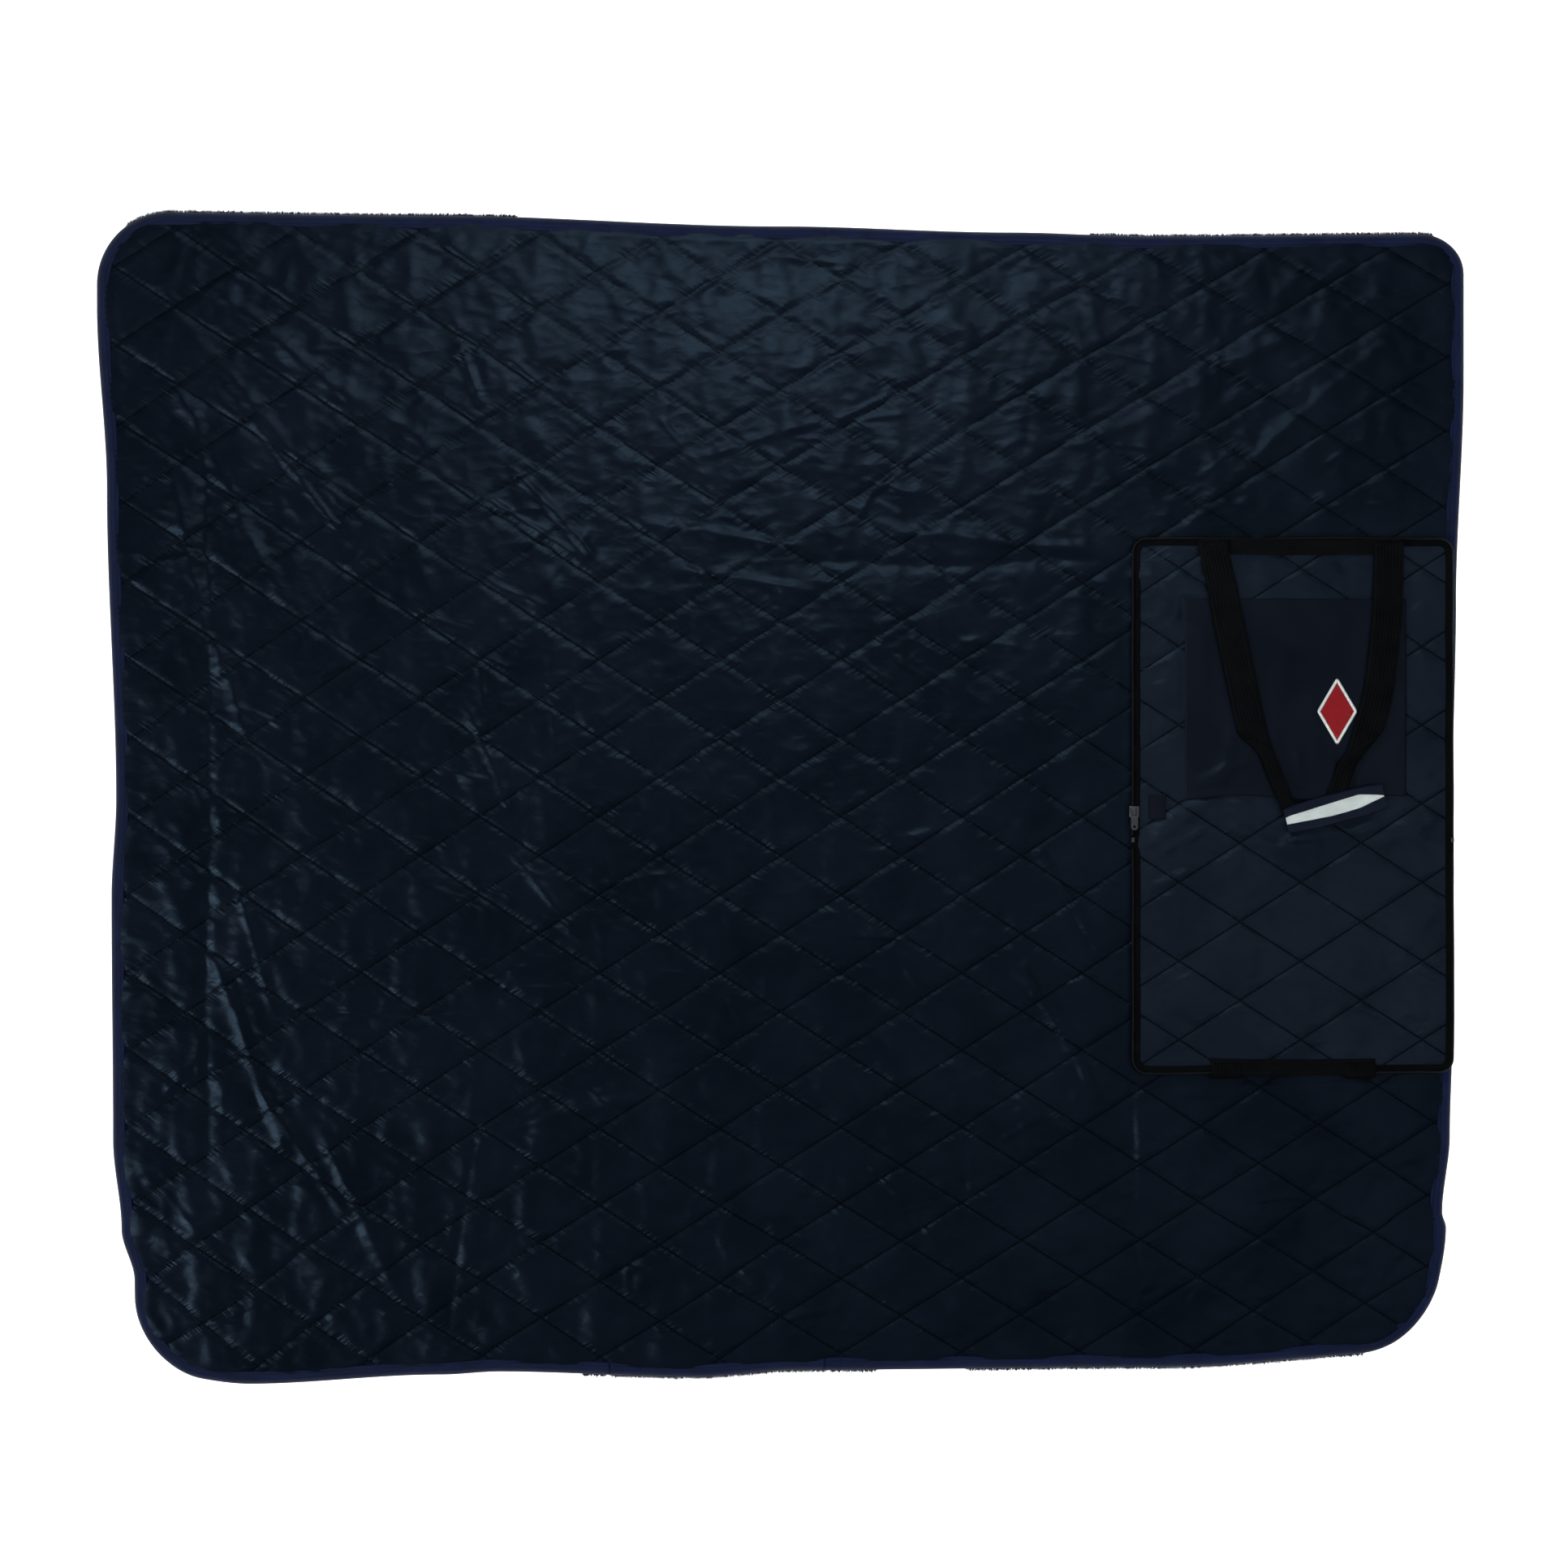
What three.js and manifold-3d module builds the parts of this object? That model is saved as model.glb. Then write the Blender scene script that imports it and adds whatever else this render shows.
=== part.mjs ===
// Quilted picnic blanket with a zip-up tote cover, lying open and flat.
// Millimetres, +Z up. The origin is under the middle of the blanket, on the floor.
// +X runs along the blanket towards the side that carries the cover, +Y across it.

import * as THREE from 'three';
import { mergeVertices } from 'three/addons/utils/BufferGeometryUtils.js';
import Module from 'manifold-3d';

const wasm = await Module();
wasm.setup();

// ---- driving dimensions -------------------------------------------------------------

// blanket
const length = 1778;            // along X
const width = 1524;             // along Y
const cornerRadius = 90;
const fleeceThickness = 3;
const battingThickness = 6;
const shellThickness = 1.2;
const bindingWidth = 18;        // how far the edge tape reaches in on each face
const bindingThickness = 0.7;
const bindingLift = 0.2;        // the pile of the fleece holds the tape off the floor

// tote cover
const coverWidth = 418;         // along X
const coverMargin = 15;         // from the blanket's right edge to the cover
const coverTop = 338;           // Y of the upper edge
const coverFold = -58;          // Y of the fold between the two halves, below the grip
const coverBottom = -358;       // Y of the lower edge
const coverCorner = 18;
const liningThickness = 0.8;
const coverBattingThickness = 4;
const coverShellThickness = 0.8;

// zip
const zipTapeWidth = 10;        // what shows outside the cover's cloth
const zipTapeThickness = 1;
const coilWidth = 2.5;
const coilHeight = 2.2;
const coilInset = 0.6;
const sliderStart = -18;        // Y of the slider when the zip is open
const sliderLength = 14;
const sliderWall = 2.7;
const sliderPlate = 1.2;
const pullLength = 24;
const pullWidth = 9;
const pullThickness = 1.6;
const pullClearance = 0.8;      // under the pull's cross bar
const bailThickness = 1.2;
const bailWidth = 3;
const bailLength = 9;
const stopLength = 6;           // metal stop clamped at each end of the upper chain
const garageWidth = 21;         // cloth tab beside the slider
const garageLength = 31;
const garageInset = 23;         // from the cover's left edge
const garageBottom = -28;

// pocket and emblem
const pocketWidth = 287;
const pocketOffset = 3.5;       // its middle, from the cover's middle
const pocketTop = 258;          // Y of its top seam
const pocketMouth = 0;          // Y of its open edge
const pocketSeam = 8;
const pocketCloth = 0.8;
const pocketDepth = 5.2;        // hollow between pocket and cover
const emblemHalfWidth = 27;
const emblemHalfHeight = 46;
const emblemThickness = 0.8;
const emblemOffset = 57;        // its middle, from the cover's middle
const emblemY = 112;

// handles
const webWidth = 38;
const webThickness = 2;
const anchorWidth = 20;         // webbing band sewn along each edge of the cover
const strapEdge = 2;            // from the cover's upper edge to the webbing band
const strapTuck = 6;            // from the band's upper edge to a strap's end
const leftRootOffset = -104;    // strap ends on the band, from the cover's middle
const rightRootOffset = 124;
const gripLength = 132;
const gripMargin = 6;           // what the grip wrap shows beyond each edge of the webbing
const gripTurn = 14.5;          // degrees, slope of the grip across the cover
const gripOffset = 54;          // its middle, from the cover's middle
const gripY = -16;
const gripCloth = 0.8;
const gripHollow = 1.3;
const slitLength = 126;
const slitWidth = 21;
const liningMargin = 3;
const backHandleReach = 208;    // how far the back handle is tucked under the cover
const bendShare = 0.6;          // share of a back strap's steps that turn round the edge
const backStrapOffset = 87;     // each back strap's middle, from the cover's middle

const gap = 0.3;                // clearance between pieces that touch
const foldGap = 0.6;            // clearance between lengths of the sheet at a fold

// ---- levels, worked out from the layers ---------------------------------------------

const quarter = length / 4;
const bindingReach = bindingThickness + gap;
const fleeceTop = fleeceThickness;
const battingBottom = fleeceTop + gap;
const battingTop = battingBottom + battingThickness;
const shellBottom = battingTop + gap;
const shellTop = shellBottom + shellThickness;
const bindingTop = shellTop + gap + bindingThickness;

const coverRight = length / 2 - coverMargin;
const coverLeft = coverRight - coverWidth;
const coverMiddle = (coverLeft + coverRight) / 2;
const frontBase = bindingTop + gap;
const backBase = frontBase + webThickness + gap;
const coverHeight = liningThickness + coverBattingThickness + coverShellThickness + 2 * gap;
const frontTop = frontBase + coverHeight;
const backTop = backBase + coverHeight;
const tapeLevel = liningThickness + gap + coverBattingThickness / 2 - zipTapeThickness / 2;

const pocketLeft = coverMiddle + pocketOffset - pocketWidth / 2;
const pocketBase = frontTop + gap;
const pocketRoof = pocketBase + pocketDepth - gap;
const pocketTopLevel = pocketRoof + pocketCloth;
const emblemBase = pocketTopLevel + gap;
const strapBase = emblemBase + emblemThickness + gap;
const anchorBase = frontTop + gap;
const strapRoot = anchorBase + webThickness + gap;
const gripBase = strapBase + webThickness + gap;
const gripWidth = webWidth + 2 * gripMargin;
const gripX = coverMiddle + gripOffset;

// ---- shapes -------------------------------------------------------------------------

// Extrudes a plan outline from one level to another.
function slab(shape, bottom, top, curveSegments = 8) {
  const settings = { depth: top - bottom, bevelEnabled: false, curveSegments };
  return new THREE.ExtrudeGeometry(shape, settings).translate(0, 0, bottom);
}

function box(x0, x1, y0, y1, z0, z1) {
  return new THREE.BoxGeometry(x1 - x0, y1 - y0, z1 - z0)
    .translate((x0 + x1) / 2, (y0 + y1) / 2, (z0 + z1) / 2);
}

function solid(geometry) {
  const bare = geometry.clone();
  bare.deleteAttribute('normal');
  bare.deleteAttribute('uv');
  const merged = mergeVertices(bare, 1e-5);
  return new wasm.Manifold(new wasm.Mesh({
    numProp: 3,
    vertProperties: new Float32Array(merged.attributes.position.array),
    triVerts: new Uint32Array(merged.index.array),
  }));
}

function geometryOf(body) {
  const mesh = body.getMesh();
  const geometry = new THREE.BufferGeometry();
  geometry.setAttribute('position', new THREE.BufferAttribute(new Float32Array(mesh.vertProperties), 3));
  geometry.setIndex(new THREE.BufferAttribute(new Uint32Array(mesh.triVerts), 1));
  geometry.computeVertexNormals();
  return geometry;
}

function join(...geometries) {
  return geometryOf(geometries.map(solid).reduce((sum, next) => sum.add(next)));
}

function cut(geometry, ...tools) {
  return geometryOf(tools.map(solid).reduce((rest, tool) => rest.subtract(tool), solid(geometry)));
}

// Half of a rounded rectangle: square along the edge at `from`, rounded at the edge at `to`.
// `inset` moves the three outer sides inwards and leaves the square edge where it is.
function halfOutline(from, to, low, high, radius, inset) {
  const side = Math.sign(to - from);
  const end = to - side * inset;
  const bottom = low + inset;
  const top = high - inset;
  const r = Math.max(radius - inset, 0.5);
  const path = new THREE.Path();
  path.moveTo(from, bottom);
  path.lineTo(end - side * r, bottom);
  path.absarc(end - side * r, bottom + r, r, -Math.PI / 2, side > 0 ? 0 : -Math.PI, side < 0);
  path.lineTo(end, top - r);
  path.absarc(end - side * r, top - r, r, side > 0 ? 0 : Math.PI, Math.PI / 2, side < 0);
  path.lineTo(from, top);
  return path;
}

// The band between two insets of that outline, a flat U open towards the square edge.
function halfBand(from, to, low, high, radius, outer, inner, segments = 8) {
  const outside = halfOutline(from, to, low, high, radius, outer).getPoints(segments);
  const inside = halfOutline(from, to, low, high, radius, inner).getPoints(segments).reverse();
  return new THREE.Shape([...outside, ...inside]);
}

function halfShape(from, to, low, high, radius, inset, segments = 8) {
  return new THREE.Shape(halfOutline(from, to, low, high, radius, inset).getPoints(segments));
}

function rectangle(x0, x1, y0, y1) {
  const corners = [[x0, y0], [x1, y0], [x1, y1], [x0, y1]];
  return new THREE.Shape(corners.map(([x, y]) => new THREE.Vector2(x, y)));
}

// Bends a flat strip along a curve. `sideAt` gives the direction of its width at a tangent.
function strip(curve, steps, stripWidth, thickness, sideAt) {
  const geometry = new THREE.BoxGeometry(stripWidth, 1, thickness, 1, steps, 1);
  const position = geometry.attributes.position;
  const place = new THREE.Vector3();
  for (let i = 0; i < position.count; i += 1) {
    const t = position.getY(i) + 0.5;
    const tangent = curve.getTangent(t);
    const side = sideAt(tangent);
    const normal = side.clone().cross(tangent).normalize();
    place.copy(curve.getPoint(t));
    place.addScaledVector(side, position.getX(i));
    place.addScaledVector(normal, position.getZ(i));
    position.setXYZ(i, place.x, place.y, place.z);
  }
  return geometry;
}

// ---- materials ----------------------------------------------------------------------

const finishes = {
  shell: { color: 0x101720, roughness: 0.5, metalness: 0 },
  coverShell: { color: 0x161e27, roughness: 0.5, metalness: 0 },
  pocket: { color: 0x0f1016, roughness: 0.7, metalness: 0 },
  fleece: { color: 0x12161d, roughness: 1, metalness: 0 },
  batting: { color: 0xd8d8d2, roughness: 1, metalness: 0 },
  lining: { color: 0x0d1218, roughness: 0.8, metalness: 0 },
  binding: { color: 0x101a30, roughness: 0.6, metalness: 0 },
  webbing: { color: 0x070707, roughness: 0.8, metalness: 0 },
  zip: { color: 0x0a0b0e, roughness: 0.6, metalness: 0 },
  coil: { color: 0x0b0c10, roughness: 0.4, metalness: 0 },
  metal: { color: 0xaab0b6, roughness: 0.3, metalness: 1 },
  emblem: { color: 0xb01b22, roughness: 0.7, metalness: 0 },
  gripLining: { color: 0xe8ebe4, roughness: 0.9, metalness: 0 },
};

function piece(parent, name, finish, geometry) {
  const mesh = new THREE.Mesh(geometry, new THREE.MeshStandardMaterial(finishes[finish]));
  mesh.name = name;
  parent.add(mesh);
}

// ---- blanket ------------------------------------------------------------------------

// One end of the sheet: three outer edges bound with tape, one edge at a fold.
function blanketEnd(parent, name, from, to) {
  const low = -width / 2;
  const high = width / 2;
  const plan = (inset) => halfShape(from, to, low, high, cornerRadius, inset);
  const band = (outer, inner) => halfBand(from, to, low, high, cornerRadius, outer, inner);
  piece(parent, `fleece_${name}`, 'fleece', join(
    slab(plan(bindingWidth + gap), 0, fleeceTop),
    slab(plan(bindingReach), bindingLift + bindingReach, fleeceTop),
  ));
  piece(parent, `batting_${name}`, 'batting', slab(plan(bindingReach), battingBottom, battingTop));
  piece(parent, `quilt_shell_${name}`, 'shell', slab(plan(bindingReach), shellBottom, shellTop));
  piece(parent, `binding_${name}`, 'binding', join(
    slab(band(0, bindingWidth), bindingLift, bindingLift + bindingThickness),
    slab(band(0, bindingThickness), bindingLift, bindingTop),
    slab(band(0, bindingWidth), bindingTop - bindingThickness, bindingTop),
  ));
}

// The middle length between the two folds, bound at the top and bottom edges only.
function blanketMiddle(parent, name, x0, x1) {
  const half = width / 2;
  const plan = (inset) => rectangle(x0, x1, inset - half, half - inset);
  piece(parent, `fleece_${name}`, 'fleece', join(
    slab(plan(bindingWidth + gap), 0, fleeceTop),
    slab(plan(bindingReach), bindingLift + bindingReach, fleeceTop),
  ));
  piece(parent, `batting_${name}`, 'batting', slab(plan(bindingReach), battingBottom, battingTop));
  piece(parent, `quilt_shell_${name}`, 'shell', slab(plan(bindingReach), shellBottom, shellTop));
  for (const [edge, side] of [['top', 1], ['bottom', -1]]) {
    const edgeStrip = (inner, z0, z1) => {
      const [y0, y1] = [side * half, side * (half - inner)].sort((a, b) => a - b);
      return box(x0, x1, y0, y1, z0, z1);
    };
    piece(parent, `binding_${name}_${edge}`, 'binding', join(
      edgeStrip(bindingWidth, bindingLift, bindingLift + bindingThickness),
      edgeStrip(bindingThickness, bindingLift, bindingTop),
      edgeStrip(bindingWidth, bindingTop - bindingThickness, bindingTop),
    ));
  }
}

// ---- tote cover ---------------------------------------------------------------------

// One half of the cover, from the fold to the far edge at `to`, its lining on `base`.
// The outlines are drawn with the fold as the square edge, then turned so that it runs along X.
function coverHalf(parent, name, from, to, base) {
  const turn = (shape) => {
    const points = shape.getPoints().map((p) => new THREE.Vector2(p.y, p.x));
    return new THREE.Shape(points);
  };
  const plan = (inset) => turn(halfShape(from, to, coverLeft, coverRight, coverCorner, inset));
  const band = (outer, inner) => turn(halfBand(from, to, coverLeft, coverRight, coverCorner, outer, inner));
  const cloth = zipTapeWidth + gap;
  const liningTop = base + liningThickness;
  const padTop = liningTop + gap + coverBattingThickness;
  const tape = base + tapeLevel;
  const coil = tape + zipTapeThickness + gap;
  piece(parent, `cover_lining_${name}`, 'lining', slab(plan(cloth), base, liningTop));
  piece(parent, `cover_batting_${name}`, 'batting', slab(plan(cloth), liningTop + gap, padTop));
  piece(parent, `cover_shell_${name}`, 'coverShell', slab(plan(cloth), padTop + gap, base + coverHeight));
  piece(parent, `zip_tape_${name}`, 'zip', slab(band(0, zipTapeWidth), tape, tape + zipTapeThickness));
  const chain = slab(band(coilInset, coilInset + coilWidth), coil, coil + coilHeight);
  if (name === 'back') {
    piece(parent, 'zip_coil_back', 'coil', chain);
    return;
  }
  const stopTop = from + stopLength;
  const starts = { left: coverLeft, right: coverRight - 2 * coilInset - coilWidth };
  const ends = Object.values(starts).map((x) => box(x - 1, x + 2 * coilInset + coilWidth + 1,
    from - 1, stopTop + gap, coil - 1, coil + coilHeight + 1));
  piece(parent, 'zip_coil_front', 'coil', cut(chain, ...ends));
  for (const [side, x] of Object.entries(starts)) {
    piece(parent, `zip_stop_${side}`, 'metal', box(x, x + 2 * coilInset + coilWidth, from, stopTop,
      coil, coil + coilHeight));
  }
}

// Webbing band sewn along an edge of the cover, between and under the strap ends.
function handleAnchor(parent, name, x0, x1, y0, y1, base) {
  piece(parent, `handle_anchor_${name}`, 'webbing', box(x0, x1, y0, y1, base, base + webThickness));
}

// Patch pocket: sewn down on three sides, raised in the middle, open at its lower edge.
function pocket(parent) {
  const right = pocketLeft + pocketWidth;
  const roof = pocketTopLevel;
  const outside = box(pocketLeft, right, pocketMouth, pocketTop, pocketBase, roof);
  const inside = box(pocketLeft + pocketSeam, right - pocketSeam, pocketMouth - 1,
    pocketTop - pocketSeam, pocketBase - 1, pocketRoof);
  const seamTop = pocketBase + pocketCloth;
  const trim = pocketSeam - pocketCloth;
  const low = pocketMouth - 1;
  const high = pocketTop + 1;
  const aboveTop = box(pocketLeft - 1, right + 1, pocketTop - trim, high, seamTop, roof + 1);
  const aboveLeft = box(pocketLeft - 1, pocketLeft + trim, low, high, seamTop, roof + 1);
  const aboveRight = box(right - trim, right + 1, low, high, seamTop, roof + 1);
  piece(parent, 'pocket_panel', 'pocket', cut(outside, inside, aboveTop, aboveLeft, aboveRight));
}

function zipGarage(parent) {
  const left = coverLeft + garageInset;
  piece(parent, 'zip_garage', 'binding', box(left, left + garageWidth,
    garageBottom, garageBottom + garageLength, frontTop + gap, frontTop + gap + 2 * coverShellThickness));
}

function emblem(parent) {
  const x = coverMiddle + emblemOffset;
  const lozenge = new THREE.Shape([
    new THREE.Vector2(x - emblemHalfWidth, emblemY), new THREE.Vector2(x, emblemY - emblemHalfHeight),
    new THREE.Vector2(x + emblemHalfWidth, emblemY), new THREE.Vector2(x, emblemY + emblemHalfHeight),
  ]);
  piece(parent, 'emblem_patch', 'emblem', slab(lozenge, emblemBase, emblemBase + emblemThickness));
}

// ---- zip slider and pull ------------------------------------------------------------

const coilLevel = frontBase + tapeLevel + zipTapeThickness + gap;
const sliderTop = coilLevel + coilHeight + gap + sliderPlate;
const sliderWallRight = coverLeft - gap;
const sliderLeft = sliderWallRight - sliderWall;
const sliderRight = coverLeft + zipTapeWidth - gap;
const pullMiddle = (sliderLeft + sliderRight) / 2;
const pullAxis = sliderTop + pullClearance + pullThickness / 2;
const bailBottom = pullAxis + pullThickness / 2 + gap;

// The slider straddles the chain: a plate above, a plate below and a wall outside it.
function zipSlider(parent) {
  const y0 = sliderStart - sliderLength / 2;
  const y1 = sliderStart + sliderLength / 2;
  const lowPlateTop = frontBase + tapeLevel - gap;
  const low = lowPlateTop - sliderPlate;
  const halfBail = bailLength / 2;
  const bailLeft = pullMiddle - bailWidth / 2;
  const bailRight = pullMiddle + bailWidth / 2;
  const bailTop = bailBottom + bailThickness;
  piece(parent, 'zip_slider_body', 'metal', join(
    box(sliderLeft, sliderRight, y0, y1, sliderTop - sliderPlate, sliderTop),
    box(sliderLeft, sliderWallRight, y0, y1, low, sliderTop),
    box(sliderLeft, sliderRight, y0, y1, low, lowPlateTop),
    box(bailLeft, bailRight, sliderStart - halfBail, sliderStart - halfBail + bailThickness,
      sliderTop - sliderPlate / 2, bailTop),
    box(bailLeft, bailRight, sliderStart + halfBail - bailThickness, sliderStart + halfBail,
      sliderTop - sliderPlate / 2, bailTop),
    box(bailLeft, bailRight, sliderStart - halfBail, sliderStart + halfBail, bailBottom, bailTop),
  ));
}

// The pull's cross bar lies under the bail, and its two arms pass outside it.
function zipPull(parent) {
  const r = pullThickness / 2;
  const armHalf = r * 0.9;
  const armAt = pullWidth / 2 - r;
  const shoulder = sliderStart - bailLength / 2 - r - gap;
  const bar = new THREE.CylinderGeometry(r, r, pullWidth, 16).rotateZ(Math.PI / 2)
    .translate(pullMiddle, sliderStart, pullAxis);
  const arms = [-1, 1].map((side) => box(
    pullMiddle + side * armAt - armHalf, pullMiddle + side * armAt + armHalf,
    shoulder - r, sliderStart, pullAxis - armHalf, pullAxis + armHalf));
  const round = pullWidth / 2;
  const roundAt = sliderStart - pullLength + round;
  const plate = new THREE.Shape();
  plate.moveTo(pullMiddle + round, shoulder);
  plate.lineTo(pullMiddle - round, shoulder);
  plate.lineTo(pullMiddle - round, roundAt);
  plate.absarc(pullMiddle, roundAt, round, Math.PI, 2 * Math.PI, false);
  const hole = new THREE.Path();
  hole.absarc(pullMiddle, roundAt, round * 0.4, 0, 2 * Math.PI, true);
  plate.holes.push(hole);
  piece(parent, 'zip_pull_tab', 'metal', join(bar, ...arms, slab(plate, pullAxis - r, pullAxis + r)));
}

// ---- handles ------------------------------------------------------------------------

const anchorTop = coverTop - strapEdge;
const handleLeftRoot = coverMiddle + leftRootOffset;
const handleRightRoot = coverMiddle + rightRootOffset;
const rampTop = coverTop - anchorWidth - strapEdge - 8;
const rampFoot = pocketTop + 10;

// The straps leave the band at its own level, climb over the pocket's top seam and lie on the pocket.
function strapLevel(y) {
  const t = THREE.MathUtils.smoothstep(-y, -rampTop, -rampFoot);
  return THREE.MathUtils.lerp(strapRoot, strapBase, t) + webThickness / 2;
}

class LaidCurve extends THREE.Curve {
  constructor(points) {
    super();
    this.plan = new THREE.CatmullRomCurve3(points.map(([x, y]) => new THREE.Vector3(x, y, 0)));
  }

  getPoint(t) {
    const point = this.plan.getPoint(t);
    return point.setZ(strapLevel(point.y));
  }
}

function acrossInPlan(tangent) {
  return new THREE.Vector3(tangent.y, -tangent.x, 0).normalize();
}

function gripPlaced(geometry) {
  return geometry.rotateZ(THREE.MathUtils.degToRad(gripTurn)).translate(gripX, gripY, 0);
}

// Each strap runs from the band down to the loop. X is from the cover's middle.
const frontStraps = {
  left: [[leftRootOffset, anchorTop - strapTuck], [-85, 235], [-64, 140], [-45, 66], [-19, -2], [-5, -34]],
  right: [[rightRootOffset, anchorTop - strapTuck], [120.5, 235], [110, 140], [99, 88], [78, 24], [68, -4]],
};

function frontHandle(parent) {
  const loop = (grow, z0, z1) => gripPlaced(box(-gripLength / 2 - grow, gripLength / 2 + grow,
    -webWidth / 2 - grow, webWidth / 2 + grow, z0, z1));
  const notch = loop(gap, strapBase - 1, strapBase + webThickness + 1);
  for (const [name, points] of Object.entries(frontStraps)) {
    const curve = new LaidCurve(points.map(([x, y]) => [coverMiddle + x, y]));
    const ribbon = strip(curve, 36, webWidth, webThickness, acrossInPlan);
    piece(parent, `front_strap_${name}`, 'webbing', cut(ribbon, notch));
  }
  piece(parent, 'front_strap_loop', 'webbing', loop(0, strapBase, strapBase + webThickness));
}

// Padded wrap on the loop: a flattened tube with an almond-shaped slit along its top.
function gripWrap(parent) {
  const top = gripBase + 2 * gripCloth + gripHollow;
  const roof = top - gripCloth;
  const floor = gripBase + gripCloth;
  const outside = rectangle(-gripLength / 2, gripLength / 2, -gripWidth / 2, gripWidth / 2);
  const wall = gripCloth;
  const hollow = box(-gripLength / 2 - 1, gripLength / 2 + 1, -gripWidth / 2 + wall, gripWidth / 2 - wall,
    floor, roof);
  const slit = new THREE.Shape();
  slit.moveTo(-slitLength / 2, 0);
  slit.quadraticCurveTo(0, -slitWidth, slitLength / 2, 0);
  slit.quadraticCurveTo(0, slitWidth, -slitLength / 2, 0);
  const wrap = cut(slab(outside, gripBase, top), hollow, slab(slit, floor + 0.1, top + 1, 10));
  piece(parent, 'grip_wrap', 'shell', gripPlaced(wrap));
  const lining = box(-gripLength / 2 + liningMargin, gripLength / 2 - liningMargin,
    -gripWidth / 2 + liningMargin, gripWidth / 2 - liningMargin, floor + gap, roof - gap);
  piece(parent, 'grip_lining', 'gripLining', gripPlaced(lining));
}

// A back strap's route: from the band at the cover's lower edge, round under it and back
// between cover and blanket.
class TuckedCurve extends THREE.Curve {
  constructor(x) {
    super();
    this.x = x;
    this.upper = backTop + gap + webThickness / 2;
    this.lower = frontBase + webThickness / 2;
    this.radius = (this.upper - this.lower) / 2;
    this.edge = coverBottom - gap;
  }

  getPoint(t) {
    const turn = Math.PI * Math.min(t / bendShare, 1);
    const run = backHandleReach * Math.max((t - bendShare) / (1 - bendShare), 0);
    return new THREE.Vector3(this.x, this.edge - this.radius * Math.sin(turn) + run,
      (this.upper + this.lower) / 2 + this.radius * Math.cos(turn));
  }
}

function backHandle(parent) {
  const alongX = () => new THREE.Vector3(1, 0, 0);
  const left = coverMiddle - backStrapOffset;
  const right = coverMiddle + backStrapOffset;
  for (const [name, x] of [['left', left], ['right', right]]) {
    piece(parent, `back_strap_${name}`, 'webbing',
      strip(new TuckedCurve(x), 20, webWidth, webThickness, alongX));
  }
  const loopStart = coverBottom + backHandleReach;
  piece(parent, 'back_strap_loop', 'webbing', box(left - webWidth / 2, right + webWidth / 2,
    loopStart, loopStart + webWidth, frontBase, frontBase + webThickness));
}

// ---- assembly -----------------------------------------------------------------------

const blanket = new THREE.Group();
blanketEnd(blanket, 'right', foldGap / 2, length / 2);
blanketMiddle(blanket, 'centre', -quarter + foldGap / 2, -foldGap / 2);
blanketEnd(blanket, 'left', -quarter - foldGap / 2, -length / 2);

coverHalf(blanket, 'front', coverFold + foldGap / 2, coverTop, frontBase);
coverHalf(blanket, 'back', coverFold - foldGap / 2, coverBottom, backBase);
handleAnchor(blanket, 'front', handleLeftRoot - webWidth / 2, handleRightRoot + webWidth / 2,
  anchorTop - anchorWidth, anchorTop, anchorBase);
handleAnchor(blanket, 'back', coverMiddle - backStrapOffset - webWidth / 2,
  coverMiddle + backStrapOffset + webWidth / 2, coverBottom, coverBottom + anchorWidth, backTop + gap);
zipGarage(blanket);
pocket(blanket);
emblem(blanket);
zipSlider(blanket);
zipPull(blanket);
frontHandle(blanket);
gripWrap(blanket);
backHandle(blanket);

export default blanket;
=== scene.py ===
import math

import bmesh
import bpy
import numpy as np
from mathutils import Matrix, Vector, noise


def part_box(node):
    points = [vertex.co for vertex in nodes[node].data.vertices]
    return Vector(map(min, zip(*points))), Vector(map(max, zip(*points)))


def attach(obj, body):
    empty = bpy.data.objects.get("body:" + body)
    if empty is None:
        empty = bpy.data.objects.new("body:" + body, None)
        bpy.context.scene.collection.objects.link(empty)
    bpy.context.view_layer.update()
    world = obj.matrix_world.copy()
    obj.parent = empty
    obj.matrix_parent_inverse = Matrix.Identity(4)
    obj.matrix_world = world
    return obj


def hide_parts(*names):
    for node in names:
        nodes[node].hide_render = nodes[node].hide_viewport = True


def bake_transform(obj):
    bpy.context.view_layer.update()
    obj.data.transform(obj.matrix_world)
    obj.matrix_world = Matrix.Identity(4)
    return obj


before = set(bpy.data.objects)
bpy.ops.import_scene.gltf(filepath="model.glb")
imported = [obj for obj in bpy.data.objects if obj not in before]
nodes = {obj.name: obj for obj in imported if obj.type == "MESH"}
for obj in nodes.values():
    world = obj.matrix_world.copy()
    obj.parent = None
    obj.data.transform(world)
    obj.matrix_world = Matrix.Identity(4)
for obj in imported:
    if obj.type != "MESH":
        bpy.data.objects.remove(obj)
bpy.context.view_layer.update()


# ---- view ---------------------------------------------------------------------------
# The blanket lies open on a plain pale floor and is seen from straight above, its upper
# edge away from the viewer. Two lights beyond the upper edge and one low on the left make the
# satin shine, and three wide ones light the cloth without a shine of their own.

view_centre = Vector((0.0053, 0.0179, 0.0))
view_width = 2.040
lens = 85.0
sensor = 36.0
floor_half = 12.0
floor_glow = 0.75
world_glow = 0.06


def in_scene(name, data):
    thing = bpy.data.objects.new(name, data)
    bpy.context.scene.collection.objects.link(thing)
    return thing


def new_finish(name, values):
    """A material and its shader, with some of the shader's values set."""
    material = bpy.data.materials.new(name)
    material.use_nodes = True
    shader = material.node_tree.nodes["Principled BSDF"]
    for socket, value in values.items():
        shader.inputs[socket].default_value = value
    return material, shader


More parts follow.
